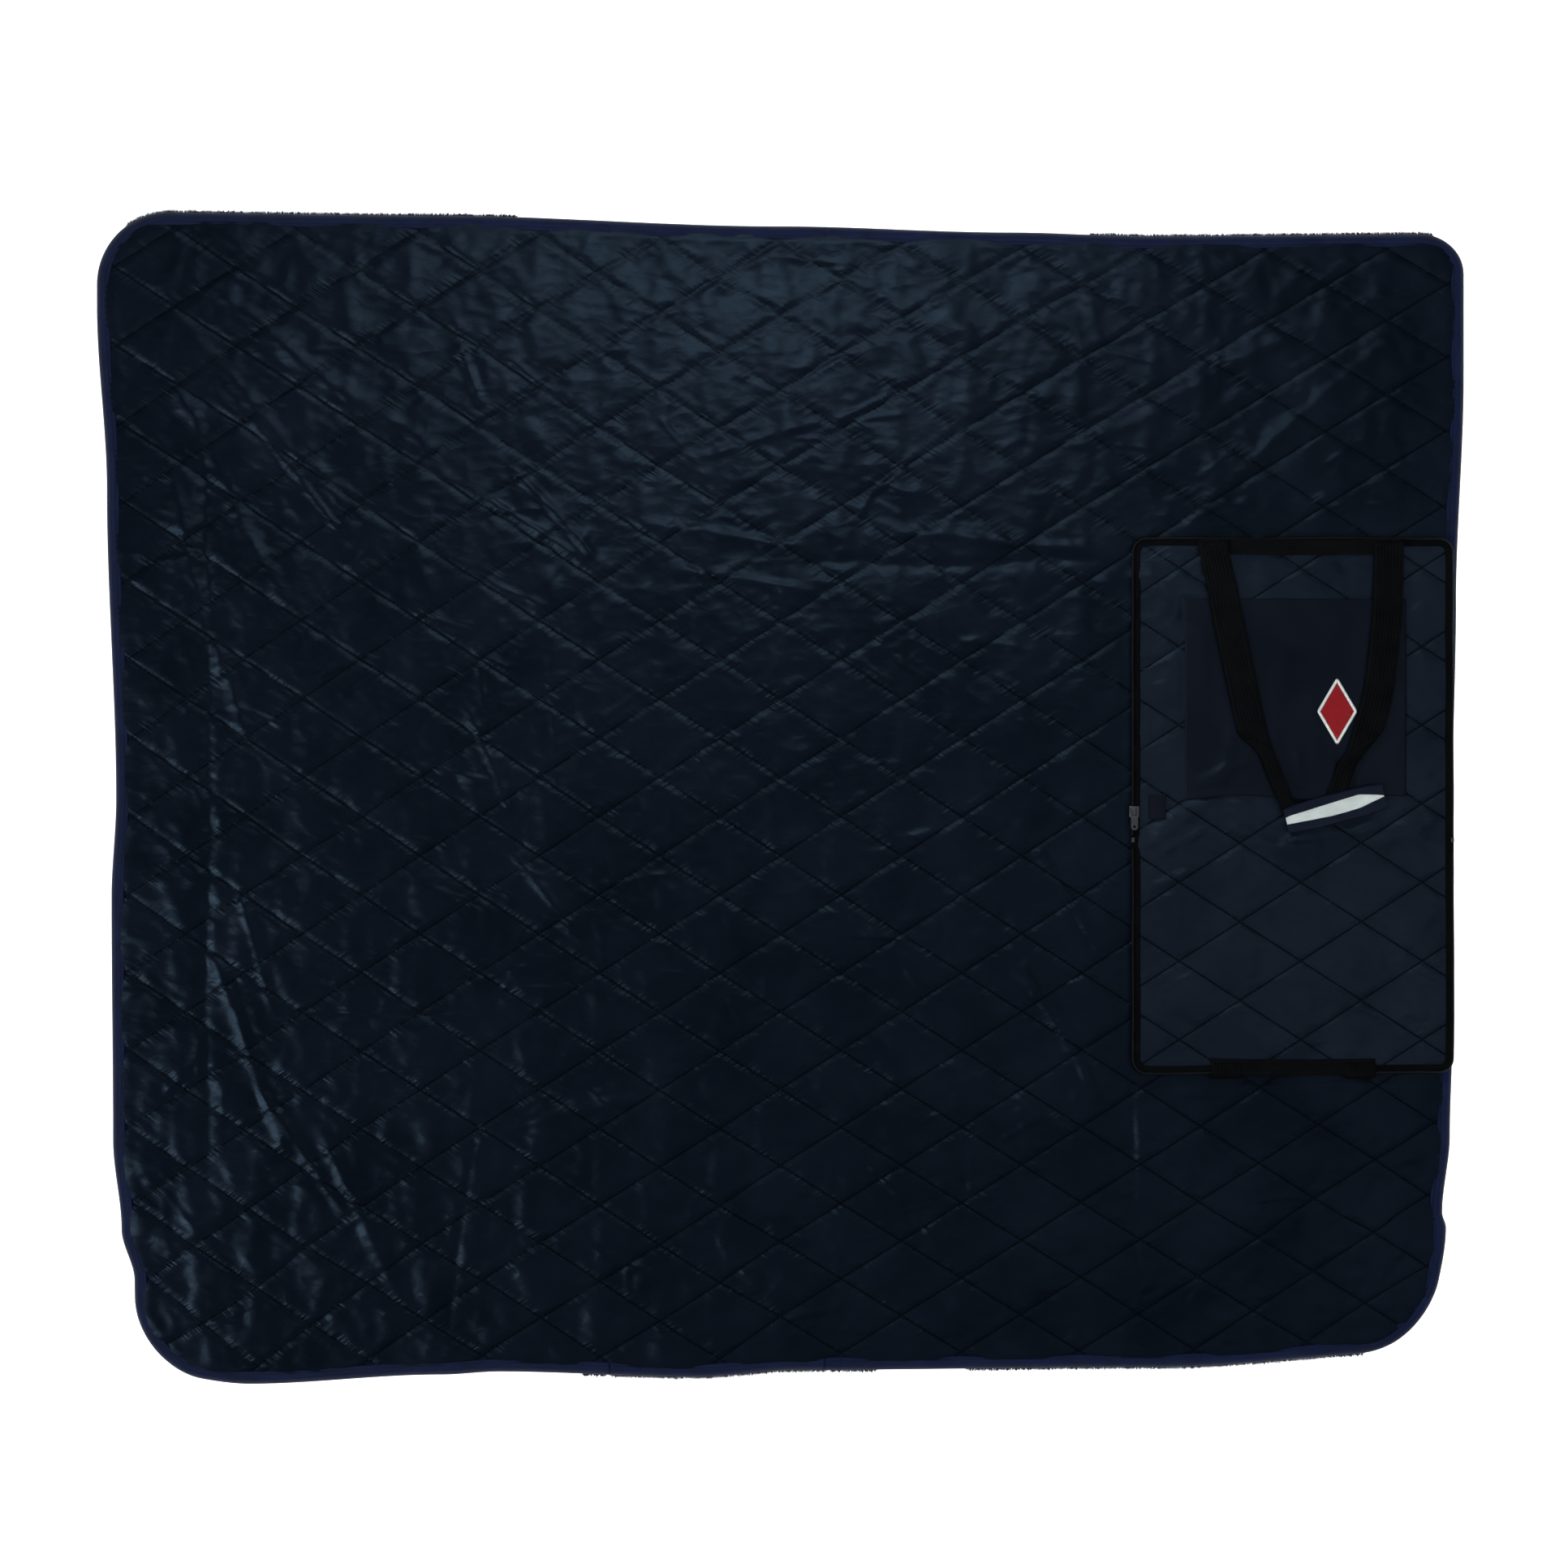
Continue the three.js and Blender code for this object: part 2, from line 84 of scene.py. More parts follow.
camera_data = bpy.data.cameras.new("camera")
camera_data.lens = lens
camera_data.sensor_width = sensor
camera_data.clip_end = 60.0
camera = in_scene("camera", camera_data)
camera.location = view_centre + Vector((0, 0, view_width * lens / sensor))
bpy.context.scene.camera = camera
bpy.context.scene.view_settings.view_transform = "Standard"
bpy.context.scene.view_settings.look = "None"

floor_mesh = bpy.data.meshes.new("floor")
floor_mesh.from_pydata(
    [(-floor_half, -floor_half, 0), (floor_half, -floor_half, 0),
     (floor_half, floor_half, 0), (-floor_half, floor_half, 0)], [], [(0, 1, 2, 3)])
floor_white, _ = new_finish("floor_white", {
    "Base Color": (0.9, 0.9, 0.9, 1), "Roughness": 0.9, "Specular IOR Level": 0.1,
    "Emission Color": (1, 1, 1, 1), "Emission Strength": floor_glow})
floor_mesh.materials.append(floor_white)
in_scene("floor", floor_mesh)

world = bpy.data.worlds.new("studio")
world.use_nodes = True
backdrop = world.node_tree.nodes["Background"].inputs
backdrop["Color"].default_value = (0.80, 0.88, 1.0, 1)
backdrop["Strength"].default_value = world_glow
bpy.context.scene.world = world


def soft_light(name, place, aim, size, power, colour, shine=True):
    data = bpy.data.lights.new(name, "AREA")
    data.shape = "RECTANGLE"
    data.size, data.size_y = size
    data.energy = power
    data.color = colour
    light = in_scene(name, data)
    light.location = place
    light.rotation_euler = (Vector(aim) - Vector(place)).to_track_quat("-Z", "Y").to_euler()
    light.visible_glossy = shine


cool, pale = (0.82, 0.93, 1.0), (0.95, 0.98, 1.0)
soft_light("light_above_top", (-0.04, 0.95, 1.05), (0.0, 0.55, 0.0), (0.7, 0.3), 5.0, cool)
soft_light("light_beyond_top", (0.0, 2.8, 2.0), (0.0, 0.55, 0.0), (1.0, 0.8), 12, (0.84, 0.94, 1.0))
soft_light("light_low_left", (-3.0, -1.2, 2.0), (-0.5, -0.3, 0.0), (0.9, 0.9), 58, (0.82, 0.92, 1.0))
soft_light("light_left", (-2.6, 0.6, 3.0), (0.0, 0.0, 0.0), (2.0, 2.0), 50, pale, False)
soft_light("light_right", (1.6, -0.1, 3.0), (0.6, 0.0, 0.0), (2.0, 2.0), 90, pale, False)
soft_light("light_near", (0.0, -2.6, 3.4), (0.0, -0.2, 0.0), (2.4, 1.5), 50, (1.0, 1.0, 1.0), False)


# ---- quilted shell ------------------------------------------------------------------
# The top of the blanket is one sheet of navy satin polyester over loose fibre fill,
# stitched through in long diamonds. Between the stitch lines the fill pushes the cloth up,
# and the thread draws it in, so it puckers along every line.

half_length = 0.889
half_width = 0.762
corner_radii = {(-1, 1): 0.095, (1, 1): 0.058, (1, -1): 0.105, (-1, -1): 0.098}
pitch_x = 0.1575                # across a diamond
pitch_y = 0.102                 # up a diamond
lattice_point = (-0.0783, 0.4859)
cells = 12                      # steps along one side of a diamond
seam_level = 0.0066             # height of the stitch lines above the floor
puff_height = 0.0058
pillow_breadth = 0.0065         # how far from a stitch line the cloth is fully round
lowest_cloth, highest_cloth = 0.0050, 0.0185
piece_edges = (-0.222, 0.060)   # where the sheet is divided into its three pieces

# Half-sizes of the sheet as it lies, read along each edge: (place along the edge, reach).
upper_edge = [(-0.90, 0.762), (-0.45, 0.757), (0.0, 0.743), (0.30, 0.735), (0.48, 0.730), (0.90, 0.733)]
lower_edge = [(-0.90, 0.742), (-0.72, 0.762), (-0.45, 0.750), (-0.37, 0.746), (-0.11, 0.753),
              (0.02, 0.744), (0.50, 0.740), (0.90, 0.718)]
left_edge = [(-0.76, 0.836), (-0.64, 0.839), (-0.57, 0.856), (-0.45, 0.867), (-0.13, 0.869),
             (0.00, 0.863), (0.40, 0.875), (0.64, 0.888)]
right_edge = [(-0.74, 0.846), (-0.58, 0.866), (-0.56, 0.861), (-0.45, 0.871), (-0.32, 0.874),
              (-0.07, 0.867), (0.02, 0.875), (0.25, 0.879), (0.56, 0.889)]


def eased(value, stops):
    """Reads a list of (place, height) pairs at value, easing in and out between the pairs."""
    places = np.array([s[0] for s in stops])
    heights = np.array([s[1] for s in stops])
    value = np.clip(value, places[0], places[-1])
    i = np.clip(np.searchsorted(places, value) - 1, 0, len(places) - 2)
    t = (value - places[i]) / (places[i + 1] - places[i])
    t = t * t * (3 - 2 * t)
    return heights[i] * (1 - t) + heights[i + 1] * t


def as_laid(x, y):
    """Moves points of the flat cut sheet to where they lie: its edges wander a little."""
    reach_x = np.where(x > 0, eased(y, right_edge), eased(y, left_edge)) / half_length
    reach_y = np.where(y > 0, eased(x, upper_edge), eased(x, lower_edge)) / half_width
    ease_x = np.abs(x / half_length) ** 1.5
    ease_y = np.abs(y / half_width) ** 1.5
    return x * (1 + (reach_x - 1) * ease_x), y * (1 + (reach_y - 1) * ease_y)


def rounded_box(x, y, half_x, half_y, r):
    """Distance outside a rectangle with corners of radius r, negative inside it."""
    dx = np.abs(x) - (half_x - r)
    dy = np.abs(y) - (half_y - r)
    return np.hypot(np.maximum(dx, 0), np.maximum(dy, 0)) + np.minimum(np.maximum(dx, dy), 0) - r


def outline_distance(x, y):
    """Distance outside the flat cut outline, negative inside it."""
    r = np.zeros_like(x)
    for (sx, sy), radius in corner_radii.items():
        r = np.where((np.sign(x) == sx) & (np.sign(y) == sy), radius, r)
    return rounded_box(x, y, half_length, half_width, r)


def smooth_noise(points, scale, seed, octaves=2):
    """Smooth noise between about -1 and 1 at each point."""
    shift = Vector((seed * 7.31, seed * 3.17, seed * 5.71))
    return np.array([noise.fractal(Vector(p) / scale + shift, 1.0, 2.0, octaves) for p in points])


def whole_quads(used):
    """Faces of a grid whose four corners are all used, and the points that they need."""
    number = np.arange(used.size).reshape(used.shape)
    corners = [(slice(None, -1), slice(None, -1)), (slice(1, None), slice(None, -1)),
               (slice(1, None), slice(1, None)), (slice(None, -1), slice(1, None))]
    whole = np.logical_and.reduce([used[c] for c in corners])
    kept, faces = np.unique(np.stack([number[c][whole] for c in corners], axis=1), return_inverse=True)
    return kept, faces.reshape(-1, 4)


def diamond_grid(centre, steps, keep):
    """Points and faces of a mesh whose edges run along the stitch lines of a diamond lattice."""
    reach = 22
    a, b = np.meshgrid(np.arange(-reach * steps, reach * steps + 1),
                       np.arange(-reach * steps, reach * steps + 1), indexing="ij")
    x = centre[0] + pitch_x * (a + b) / (2 * steps)
    y = centre[1] + pitch_y * (a - b) / (2 * steps)
    kept, faces = whole_quads(keep(x, y))
    faces = faces[:, [0, 3, 2, 1]]
    return x.ravel()[kept], y.ravel()[kept], a.ravel()[kept], b.ravel()[kept], faces


def new_mesh_object(name, points, faces):
    mesh = bpy.data.meshes.new(name)
    mesh.from_pydata([tuple(p) for p in points], [], [tuple(int(i) for i in f) for f in faces])
    mesh.validate()
    mesh.shade_smooth()
    return in_scene(name, mesh)


def shown_mesh(thing):
    """Points of a thing with its modifiers, and the point at each corner of its faces."""
    mesh = thing.evaluated_get(bpy.context.evaluated_depsgraph_get()).data
    points = np.empty(len(mesh.vertices) * 3)
    mesh.vertices.foreach_get("co", points)
    corners = np.empty(len(mesh.loops), dtype=np.int64)
    mesh.loops.foreach_get("vertex_index", corners)
    return points.reshape(-1, 3), corners


def cleared(thing):
    mesh = thing.data
    bpy.data.objects.remove(thing)
    bpy.data.meshes.remove(mesh)


def puffed(points, faces, pinned, pressure, slack, frames=22):
    """Cloth simulation of a stitched sheet: pinned along its seams, pushed up by the fill."""
    thing = new_mesh_object("cloth_under_test", points, faces)
    group = thing.vertex_groups.new(name="stitched")
    group.add([int(i) for i in np.flatnonzero(pinned)], 1.0, "REPLACE")
    cloth = thing.modifiers.new("Cloth", "CLOTH")
    for name, value in {
            "quality": 4, "mass": 0.3, "tension_stiffness": 12, "compression_stiffness": 12,
            "shear_stiffness": 4, "bending_stiffness": 0.02, "vertex_group_mass": "stitched",
            "pin_stiffness": 1.0, "shrink_min": -slack, "use_pressure": True,
            "uniform_pressure_force": pressure}.items():
        setattr(cloth.settings, name, value)
    cloth.settings.effector_weights.gravity = 0
    cloth.collision_settings.use_collision = False
    cloth.point_cache.frame_start = 1
    cloth.point_cache.frame_end = frames
    for step in range(1, frames + 1):
        bpy.context.scene.frame_set(step)
    risen, _ = shown_mesh(thing)
    bpy.context.scene.frame_set(1)
    cleared(thing)
    return risen


def smoothed(points, faces):
    """One round of subdivision, as plain points and faces."""
    thing = new_mesh_object("to_subdivide", points, faces)
    subdivision = thing.modifiers.new("Subdivision", "SUBSURF")
    subdivision.levels = subdivision.render_levels = 1
    finer, corners = shown_mesh(thing)
    cleared(thing)
    return finer, corners.reshape(-1, 4)


def crease(x, y, start, end, width, height, lean=0.0):
    """Height of one crease in the cloth: a ridge (or, below zero, a fold line) from start to end."""
    ax, ay = start
    dx, dy = end[0] - ax, end[1] - ay
    run = math.hypot(dx, dy)
    along = ((x - ax) * dx + (y - ay) * dy) / run ** 2
    across = ((x - ax) * dy - (y - ay) * dx) / run
    fade = np.clip(np.minimum(along, 1 - along) * 5, 0, 1)
    fade = np.where((along > 0) & (along < 1), fade * fade * (3 - 2 * fade), 0)
    wander = 0.35 * width * np.sin(along * run / 0.05)
    near = (across + wander) / width
    return height * fade * np.exp(-near ** 2) * (1 + lean * near)


def point_normals(points, faces):
    normals = np.zeros_like(points)
    p = points[faces]
    face_normals = np.cross(p[:, 2] - p[:, 0], p[:, 3] - p[:, 1])
    for corner in range(4):
        np.add.at(normals, faces[:, corner], face_normals)
    return normals / np.maximum(np.linalg.norm(normals, axis=1, keepdims=True), 1e-12)


def rim_edges(faces, count):
    """Edges used by one face only, in the direction that face runs round."""
    edges = np.concatenate([faces[:, [i, (i + 1) % 4]] for i in range(4)])
    ordered = np.sort(edges, axis=1)
    key = ordered[:, 0] * count + ordered[:, 1]
    _, index, uses = np.unique(key, return_index=True, return_counts=True)
    return edges[index[uses == 1]]


def closed_pad(name, points, faces, chosen, underside, top_normals, low_normals, chart=None):
    """Closed pad from the chosen faces of a sheet: the sheet on top, a copy of it at the level of
    the underside, and walls between. Neighbouring pieces keep the whole sheet's normals, so they
    shade as one. The chart, where there is one, is its UV map."""
    kept, faces = np.unique(faces[chosen], return_inverse=True)
    faces = faces.reshape(-1, 4)
    count = len(kept)
    rim = rim_edges(faces, count)
    walls = np.stack([rim[:, 1], rim[:, 0], rim[:, 0] + count, rim[:, 1] + count], axis=1)
    low = np.column_stack([points[kept][:, :2], underside[kept]])
    thing = new_mesh_object(name, np.concatenate([points[kept], low]),
                            np.concatenate([faces, faces[:, ::-1] + count, walls]))
    thing.data.normals_split_custom_set_from_vertices(
        np.concatenate([top_normals[kept], low_normals[kept]]).tolist())
    if chart is not None:
        corners = np.empty(len(thing.data.loops), dtype=np.int64)
        thing.data.loops.foreach_get("vertex_index", corners)
        thing.data.uv_layers.new(name="diamonds").data.foreach_set(
            "uv", np.concatenate([chart[kept]] * 2)[corners].ravel())
    return thing


def straight_up(count, side=1.0):
    return np.tile((0.0, 0.0, side), (count, 1))


def three_lengths(points, faces):
    """Which faces of the sheet belong to its left, middle and right lengths."""
    part = np.digitize(points[faces][:, :, 0].mean(axis=1), piece_edges)
    return {side: part == i for i, side in enumerate(("left", "middle", "right"))}


def lattice_place(x, y, centre):
    """Where a point lies in the diamonds: whole numbers are the stitch lines of either set."""
    return np.stack([(x - centre[0]) / pitch_x + (y - centre[1]) / pitch_y,
                     (x - centre[0]) / pitch_x - (y - centre[1]) / pitch_y], axis=1)


def inside_sheet(x, y):
    return outline_distance(x, y) < -0.006


def settled(height, most):
    """The fill holds the cloth up where it would sink, and the cloth can only rise so far."""
    return np.where(height > 0, most * np.tanh(height / most), 0.35 * height)


def pillowed(points, centre, pillow):
    """Rounds the smoothed sheet away from its stitch lines, and says where its points lie on them."""
    lattice = lattice_place(points[:, 0], points[:, 1], centre)
    from_seam = line_gap * np.abs(lattice - np.round(lattice)).min(axis=1)
    points[:, 2] = 0.75 * points[:, 2] + pillow * (1 - np.exp(-from_seam / pillow_breadth))
    return lattice


def stitched_sheet(centre, steps, keep, distance, seam_margin, fill, bumps):
    """A sheet pushed up between its stitch lines, with where each point lies on the lines."""
    x, y, a, b, faces = diamond_grid(centre, steps, keep)
    on_seam = (a % steps == 0) | (b % steps == 0) | (distance(x, y) > -seam_margin)
    points = np.stack([x, y, np.zeros_like(x)], axis=1)
    points[:, 2] = np.where(on_seam, 0, 0.0007 + 0.0005 * smooth_noise(points, *bumps))
    points = puffed(points, faces, on_seam, fill["pressure"], fill["slack"])
    return points, faces, a, b


sheet, sheet_faces, sheet_a, sheet_b = stitched_sheet(
    lattice_point, cells, inside_sheet, outline_distance, 0.018,
    {"height": 0.006, "pressure": 0.9, "slack": 0.045}, (0.018, 3))

line_gap = pitch_x * pitch_y / math.hypot(pitch_x, pitch_y)
height = settled(sheet[:, 2], puff_height)
under_cover = (sheet[:, 0] > 0.44) & (np.abs(sheet[:, 1]) < 0.37)
sheet[:, 2] = np.where(under_cover, 0.45 * height, height)
sheet, sheet_faces = smoothed(sheet, sheet_faces)
sheet_lattice = pillowed(sheet, lattice_point, 0.0022)

# Creases: the folds that storage pressed into the blanket, and pulls from its upper corners.
storage_folds = [
    ((0.452, 0.420), (0.468, -0.735), 0.006, -0.0030), ((-0.752, 0.610), (-0.760, -0.600), 0.007, -0.0030),
    ((-0.386, -0.360), (-0.446, -0.735), 0.004, -0.0024), ((0.236, -0.370), (0.243, -0.590), 0.004, -0.0024),
    ((-0.700, -0.279), (-0.385, -0.281), 0.003, -0.0020), ((-0.020, 0.306), (0.450, 0.312), 0.008, -0.0030),
    ((-0.350, 0.020), (-0.335, -0.080), 0.004, -0.0024), ((-0.300, 0.180), (-0.290, -0.010), 0.003, 0.0020),
]
pulls = [
    ((-0.420, 0.600), (-0.385, 0.500), 0.006, 0.0038), ((-0.360, 0.440), (-0.225, 0.300), 0.006, 0.0044),
    ((-0.400, 0.400), (-0.255, 0.310), 0.005, 0.0038), ((-0.780, 0.690), (-0.420, 0.430), 0.012, 0.0030),
    ((-0.800, 0.640), (-0.520, 0.330), 0.012, 0.0028), ((-0.810, 0.570), (-0.620, 0.200), 0.012, 0.0026),
    ((0.840, 0.660), (0.500, 0.330), 0.010, 0.0028), ((0.820, 0.700), (0.330, 0.430), 0.012, 0.0024),
    ((-0.820, 0.480), (-0.700, 0.050), 0.010, 0.0024), ((-0.700, 0.500), (-0.560, 0.330), 0.005, 0.0032),
    ((0.120, 0.350), (0.430, 0.330), 0.009, 0.0036), ((-0.200, 0.360), (0.040, 0.330), 0.008, 0.0032),
    ((-0.160, 0.300), (0.060, 0.270), 0.007, 0.0034), ((-0.120, 0.440), (0.060, 0.500), 0.006, 0.0024),
    ((-0.760, -0.180), (-0.640, -0.480), 0.008, 0.0036), ((-0.720, -0.100), (-0.660, -0.300), 0.006, 0.0034),
    ((-0.620, -0.400), (-0.480, -0.700), 0.010, 0.0030), ((-0.700, -0.360), (-0.560, -0.560), 0.006, 0.0030),
    ((-0.380, -0.440), (-0.160, -0.380), 0.008, 0.0030), ((-0.340, -0.560), (-0.120, -0.640), 0.008, 0.0026),
    ((0.160, -0.320), (0.430, -0.460), 0.008, 0.0028), ((0.300, -0.200), (0.440, -0.420), 0.007, 0.0034),
    ((0.320, -0.040), (0.440, -0.230), 0.006, 0.0030), ((-0.420, 0.140), (-0.340, -0.040), 0.007, 0.0034),
    ((-0.360, -0.060), (-0.260, -0.180), 0.006, 0.0030), ((0.080, -0.440), (0.240, -0.620), 0.006, 0.0026),
]
relief = np.zeros(len(sheet))
for start, end, crease_width, crease_height in storage_folds + pulls:
    relief += crease(sheet[:, 0], sheet[:, 1], start, end, crease_width, crease_height, lean=0.4)
dice = np.random.default_rng(41)
for _ in range(170):
    middle = dice.uniform((-0.84, -0.72), (0.84, 0.72))
    turn = dice.normal(0.0, 0.75) + math.pi * dice.integers(0, 2)
    reach = 0.5 * dice.uniform(0.03, 0.12) * np.array((math.cos(turn), math.sin(turn)))
    relief += crease(sheet[:, 0], sheet[:, 1], middle - reach, middle + reach,
                     dice.uniform(0.0022, 0.0050), dice.uniform(0.0008, 0.0022), lean=0.5)
to_edge = np.clip(-outline_distance(sheet[:, 0], sheet[:, 1]) / 0.06, 0, 1)
beside_cover = np.where((sheet[:, 0] > 0.445) & (np.abs(sheet[:, 1] + 0.01) < 0.365), 0.15, 1.0)
sheet[:, 2] += relief * to_edge * beside_cover
sheet[:, 2] += 0.0022 * to_edge * beside_cover * smooth_noise(sheet, 0.16, 5)
sheet[:, 2] = np.clip(seam_level + sheet[:, 2], lowest_cloth, highest_cloth)
sheet[:, 0], sheet[:, 1] = as_laid(sheet[:, 0], sheet[:, 1])
sheet_normals = point_normals(sheet, sheet_faces)

batting_level = 0.0045
quilts = {side: closed_pad("quilt_" + side, sheet, sheet_faces, chosen, np.full(len(sheet), batting_level),
                           sheet_normals, straight_up(len(sheet), -1.0), sheet_lattice)
          for side, chosen in three_lengths(sheet, sheet_faces).items()}


def wired(tree, kind, sockets, **settings):
    """Adds a node with its settings, and gives each socket a value or the output that feeds it."""
    node = tree.nodes.new(kind)
    for name, value in settings.items():
        setattr(node, name, value)
    for socket, value in sockets.items():
        if isinstance(value, bpy.types.NodeSocket):
            tree.links.new(value, node.inputs[socket])
        else:
            node.inputs[socket].default_value = value
    return node


def new_tree(name, kind, inputs, output, sort):
    """An empty node group, with its inputs given as {name: type}, and its two end nodes."""
    tree = bpy.data.node_groups.new(name, kind)
    for socket, socket_sort in inputs.items():
        tree.interface.new_socket(socket, in_out="INPUT", socket_type="NodeSocket" + socket_sort)
    for socket in output:
        tree.interface.new_socket(socket, in_out="OUTPUT", socket_type="NodeSocket" + sort)
    return tree, tree.nodes.new("NodeGroupInput"), tree.nodes.new("NodeGroupOutput")


def noise_texture(tree, vector, scale, detail=2.0, roughness=0.5, distortion=0.0):
    return wired(tree, "ShaderNodeTexNoise", {
        "Scale": scale, "Detail": detail, "Roughness": roughness, "Distortion": distortion,
        "Vector": vector}).outputs["Fac"]


def blend_value(tree, fac, low, high):
    return wired(tree, "ShaderNodeMapRange", {
        "Value": fac, "From Min": 0.3, "From Max": 0.7, "To Min": low, "To Max": high}).outputs["Result"]


def blend_colour(tree, fac, dark, light):
    ramp = wired(tree, "ShaderNodeValToRGB", {"Fac": fac})
    for stop, place, colour in zip(ramp.color_ramp.elements, (0.3, 0.7), (dark, light)):
        stop.position = place
        stop.color = (*colour, 1)
    return ramp.outputs["Color"]


def sums(tree, operation, *values):
    """One step of arithmetic on outputs and plain numbers."""
    return wired(tree, "ShaderNodeMath", dict(enumerate(values)), operation=operation).outputs[0]


def bump(tree, height, distance, strength=1.0, under=None):
    sockets = {"Distance": distance, "Strength": strength, "Height": height}
    if under is not None:
        sockets["Normal"] = under
    return wired(tree, "ShaderNodeBump", sockets).outputs["Normal"]


def weave_group():
    """Crossing threads: two sets of fine waves, as a height between 0 and 1."""
    group, taken, given = new_tree("weave", "ShaderNodeTree",
                                   {"Place": "Vector", "Warp": "Float", "Weft": "Float"}, ["Height"], "Float")
    apart = wired(group, "ShaderNodeSeparateXYZ", {"Vector": taken.outputs["Place"]})
    waves = []
    for axis, spacing in (("X", "Warp"), ("Y", "Weft")):
        threads = sums(group, "DIVIDE", apart.outputs[axis], taken.outputs[spacing])
        waves.append(sums(group, "ABSOLUTE", sums(group, "SINE", sums(group, "MULTIPLY", threads, math.pi))))
    group.links.new(sums(group, "MULTIPLY", *waves), given.inputs["Height"])
    return group


def stitch_line_group():
    """Along the stitch lines of a UV map in diamonds: a thin dark line, the thread's colour together with
    painted shade of the groove that it pulls in, and the puckers beside it.
    """
    group, taken, given = new_tree("stitch_lines", "ShaderNodeTree", {"Place": "Vector"},
                                   ["Line", "Pucker"], "Float")
    apart = wired(group, "ShaderNodeSeparateXYZ", {"Vector": taken.outputs["Place"]})

    def fade(value, far):
        return wired(group, "ShaderNodeMapRange", interpolation_type="SMOOTHSTEP", sockets={
            "Value": value, "From Max": far, "To Min": 1.0, "To Max": 0.0}).outputs["Result"]

    puckers, distances = [], []
    for across, along in (("X", "Y"), ("Y", "X")):
        distance = sums(group, "PINGPONG", apart.outputs[across], 0.5)
        own = sums(group, "MULTIPLY", sums(group, "ROUND", apart.outputs[across]), 7.3)
        place = sums(group, "MULTIPLY_ADD", apart.outputs[along], 15.0, own)
        ripple = wired(group, "ShaderNodeTexNoise", {"Scale": 1.0, "Detail": 2.0, "W": place},
                       noise_dimensions="1D")
        puckers.append(sums(group, "MULTIPLY", ripple.outputs["Fac"], fade(distance, 0.22)))
        distances.append(distance)
    # The dark line is the thread's colour and painted shade in the groove beside it.
    group.links.new(fade(sums(group, "MINIMUM", *distances), 0.024), given.inputs["Line"])
    group.links.new(sums(group, "ADD", *puckers), given.inputs["Pucker"])
    return group


weave = weave_group()
stitch_lines = stitch_line_group()


def woven_height(tree, place, warp, weft):
    return wired(tree, "ShaderNodeGroup", {"Place": place, "Warp": warp, "Weft": weft},
                 node_tree=weave).outputs["Height"]


def satin(name, dark, light, roughness, crinkle=0.0010, quilted=True):
    """Finish of the downproof polyester: tight fine weave, soft shine, small hard crinkles."""
    material, shader = new_finish(name, {"Specular IOR Level": 0.20, "Specular Tint": (0.50, 0.74, 1.0, 1)})
    tree = material.node_tree
    place = tree.nodes.new("ShaderNodeTexCoord").outputs["Object"]
    cloth_colour = blend_colour(tree, noise_texture(tree, place, 7.0, 4.0, 0.6, 0.4), dark, light)
    stretch = wired(tree, "ShaderNodeMapping", {"Scale": (1.0, 1.7, 1.0), "Rotation": (0, 0, 0.35),
                                                "Vector": place}).outputs["Vector"]
    drift = wired(tree, "ShaderNodeTexNoise", {"Scale": 16.0, "Vector": place}).outputs["Color"]
    bent = wired(tree, "ShaderNodeVectorMath", {0: drift, 1: (0.03, 0.03, 0.03), 2: stretch},
                 operation="MULTIPLY_ADD").outputs[0]
    crushed = wired(tree, "ShaderNodeTexVoronoi", {"Scale": 15.0, "Detail": 1.0, "Lacunarity": 2.6,
                                                   "Vector": bent}).outputs["Distance"]
    normal = bump(tree, crushed, 1.6 * crinkle)
    normal = bump(tree, noise_texture(tree, stretch, 34.0, 2.5, 0.5, 1.1), 0.55 * crinkle, 1.0, normal)
    if quilted:
        sewn_at = tree.nodes.new("ShaderNodeUVMap").outputs["UV"]
        lines = wired(tree, "ShaderNodeGroup", {"Place": sewn_at}, node_tree=stitch_lines)
        # Painted shade: along the stitch lines the cloth colour drops to a tenth of its dark tone, standing
        # for the thread and for the shade in the groove that it pulls in.
        mix = wired(tree, "ShaderNodeMix", {}, data_type="RGBA")
        tree.links.new(lines.outputs["Line"], mix.inputs["Factor"])
        tree.links.new(cloth_colour, mix.inputs["A"])
        mix.inputs["B"].default_value = tuple(0.1 * c for c in dark) + (1,)
        cloth_colour = mix.outputs["Result"]
        normal = bump(tree, lines.outputs["Pucker"], 0.0011, 1.0, normal)
    normal = bump(tree, woven_height(tree, place, 0.0005, 0.0005), 0.00006, 0.5, normal)
    gloss = blend_value(tree, noise_texture(tree, place, 22.0, 3.0, 0.6, 0.8), *roughness)
    for socket, value in (("Base Color", cloth_colour), ("Roughness", gloss), ("Normal", normal)):
        tree.links.new(value, shader.inputs[socket])
    return material


shell_satin = satin("shell_satin", (0.0013, 0.0022, 0.0042), (0.0025, 0.0039, 0.0070), (0.28, 0.42))
for side, piece in quilts.items():
    piece.data.materials.append(shell_satin)

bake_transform(quilts["left"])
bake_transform(quilts["middle"])
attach(quilts["right"], "right_half")
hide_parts("quilt_shell_left", "batting_left")
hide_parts("quilt_shell_centre", "batting_centre")
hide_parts("quilt_shell_right", "batting_right")


# ---- quilting stitches ---------------------------------------------------------------
# Navy polyester thread, lockstitched along every line of the diamonds through the shell,
# the fill and the fleece. The thread lies at the bottom of the grooves that it pulls in.

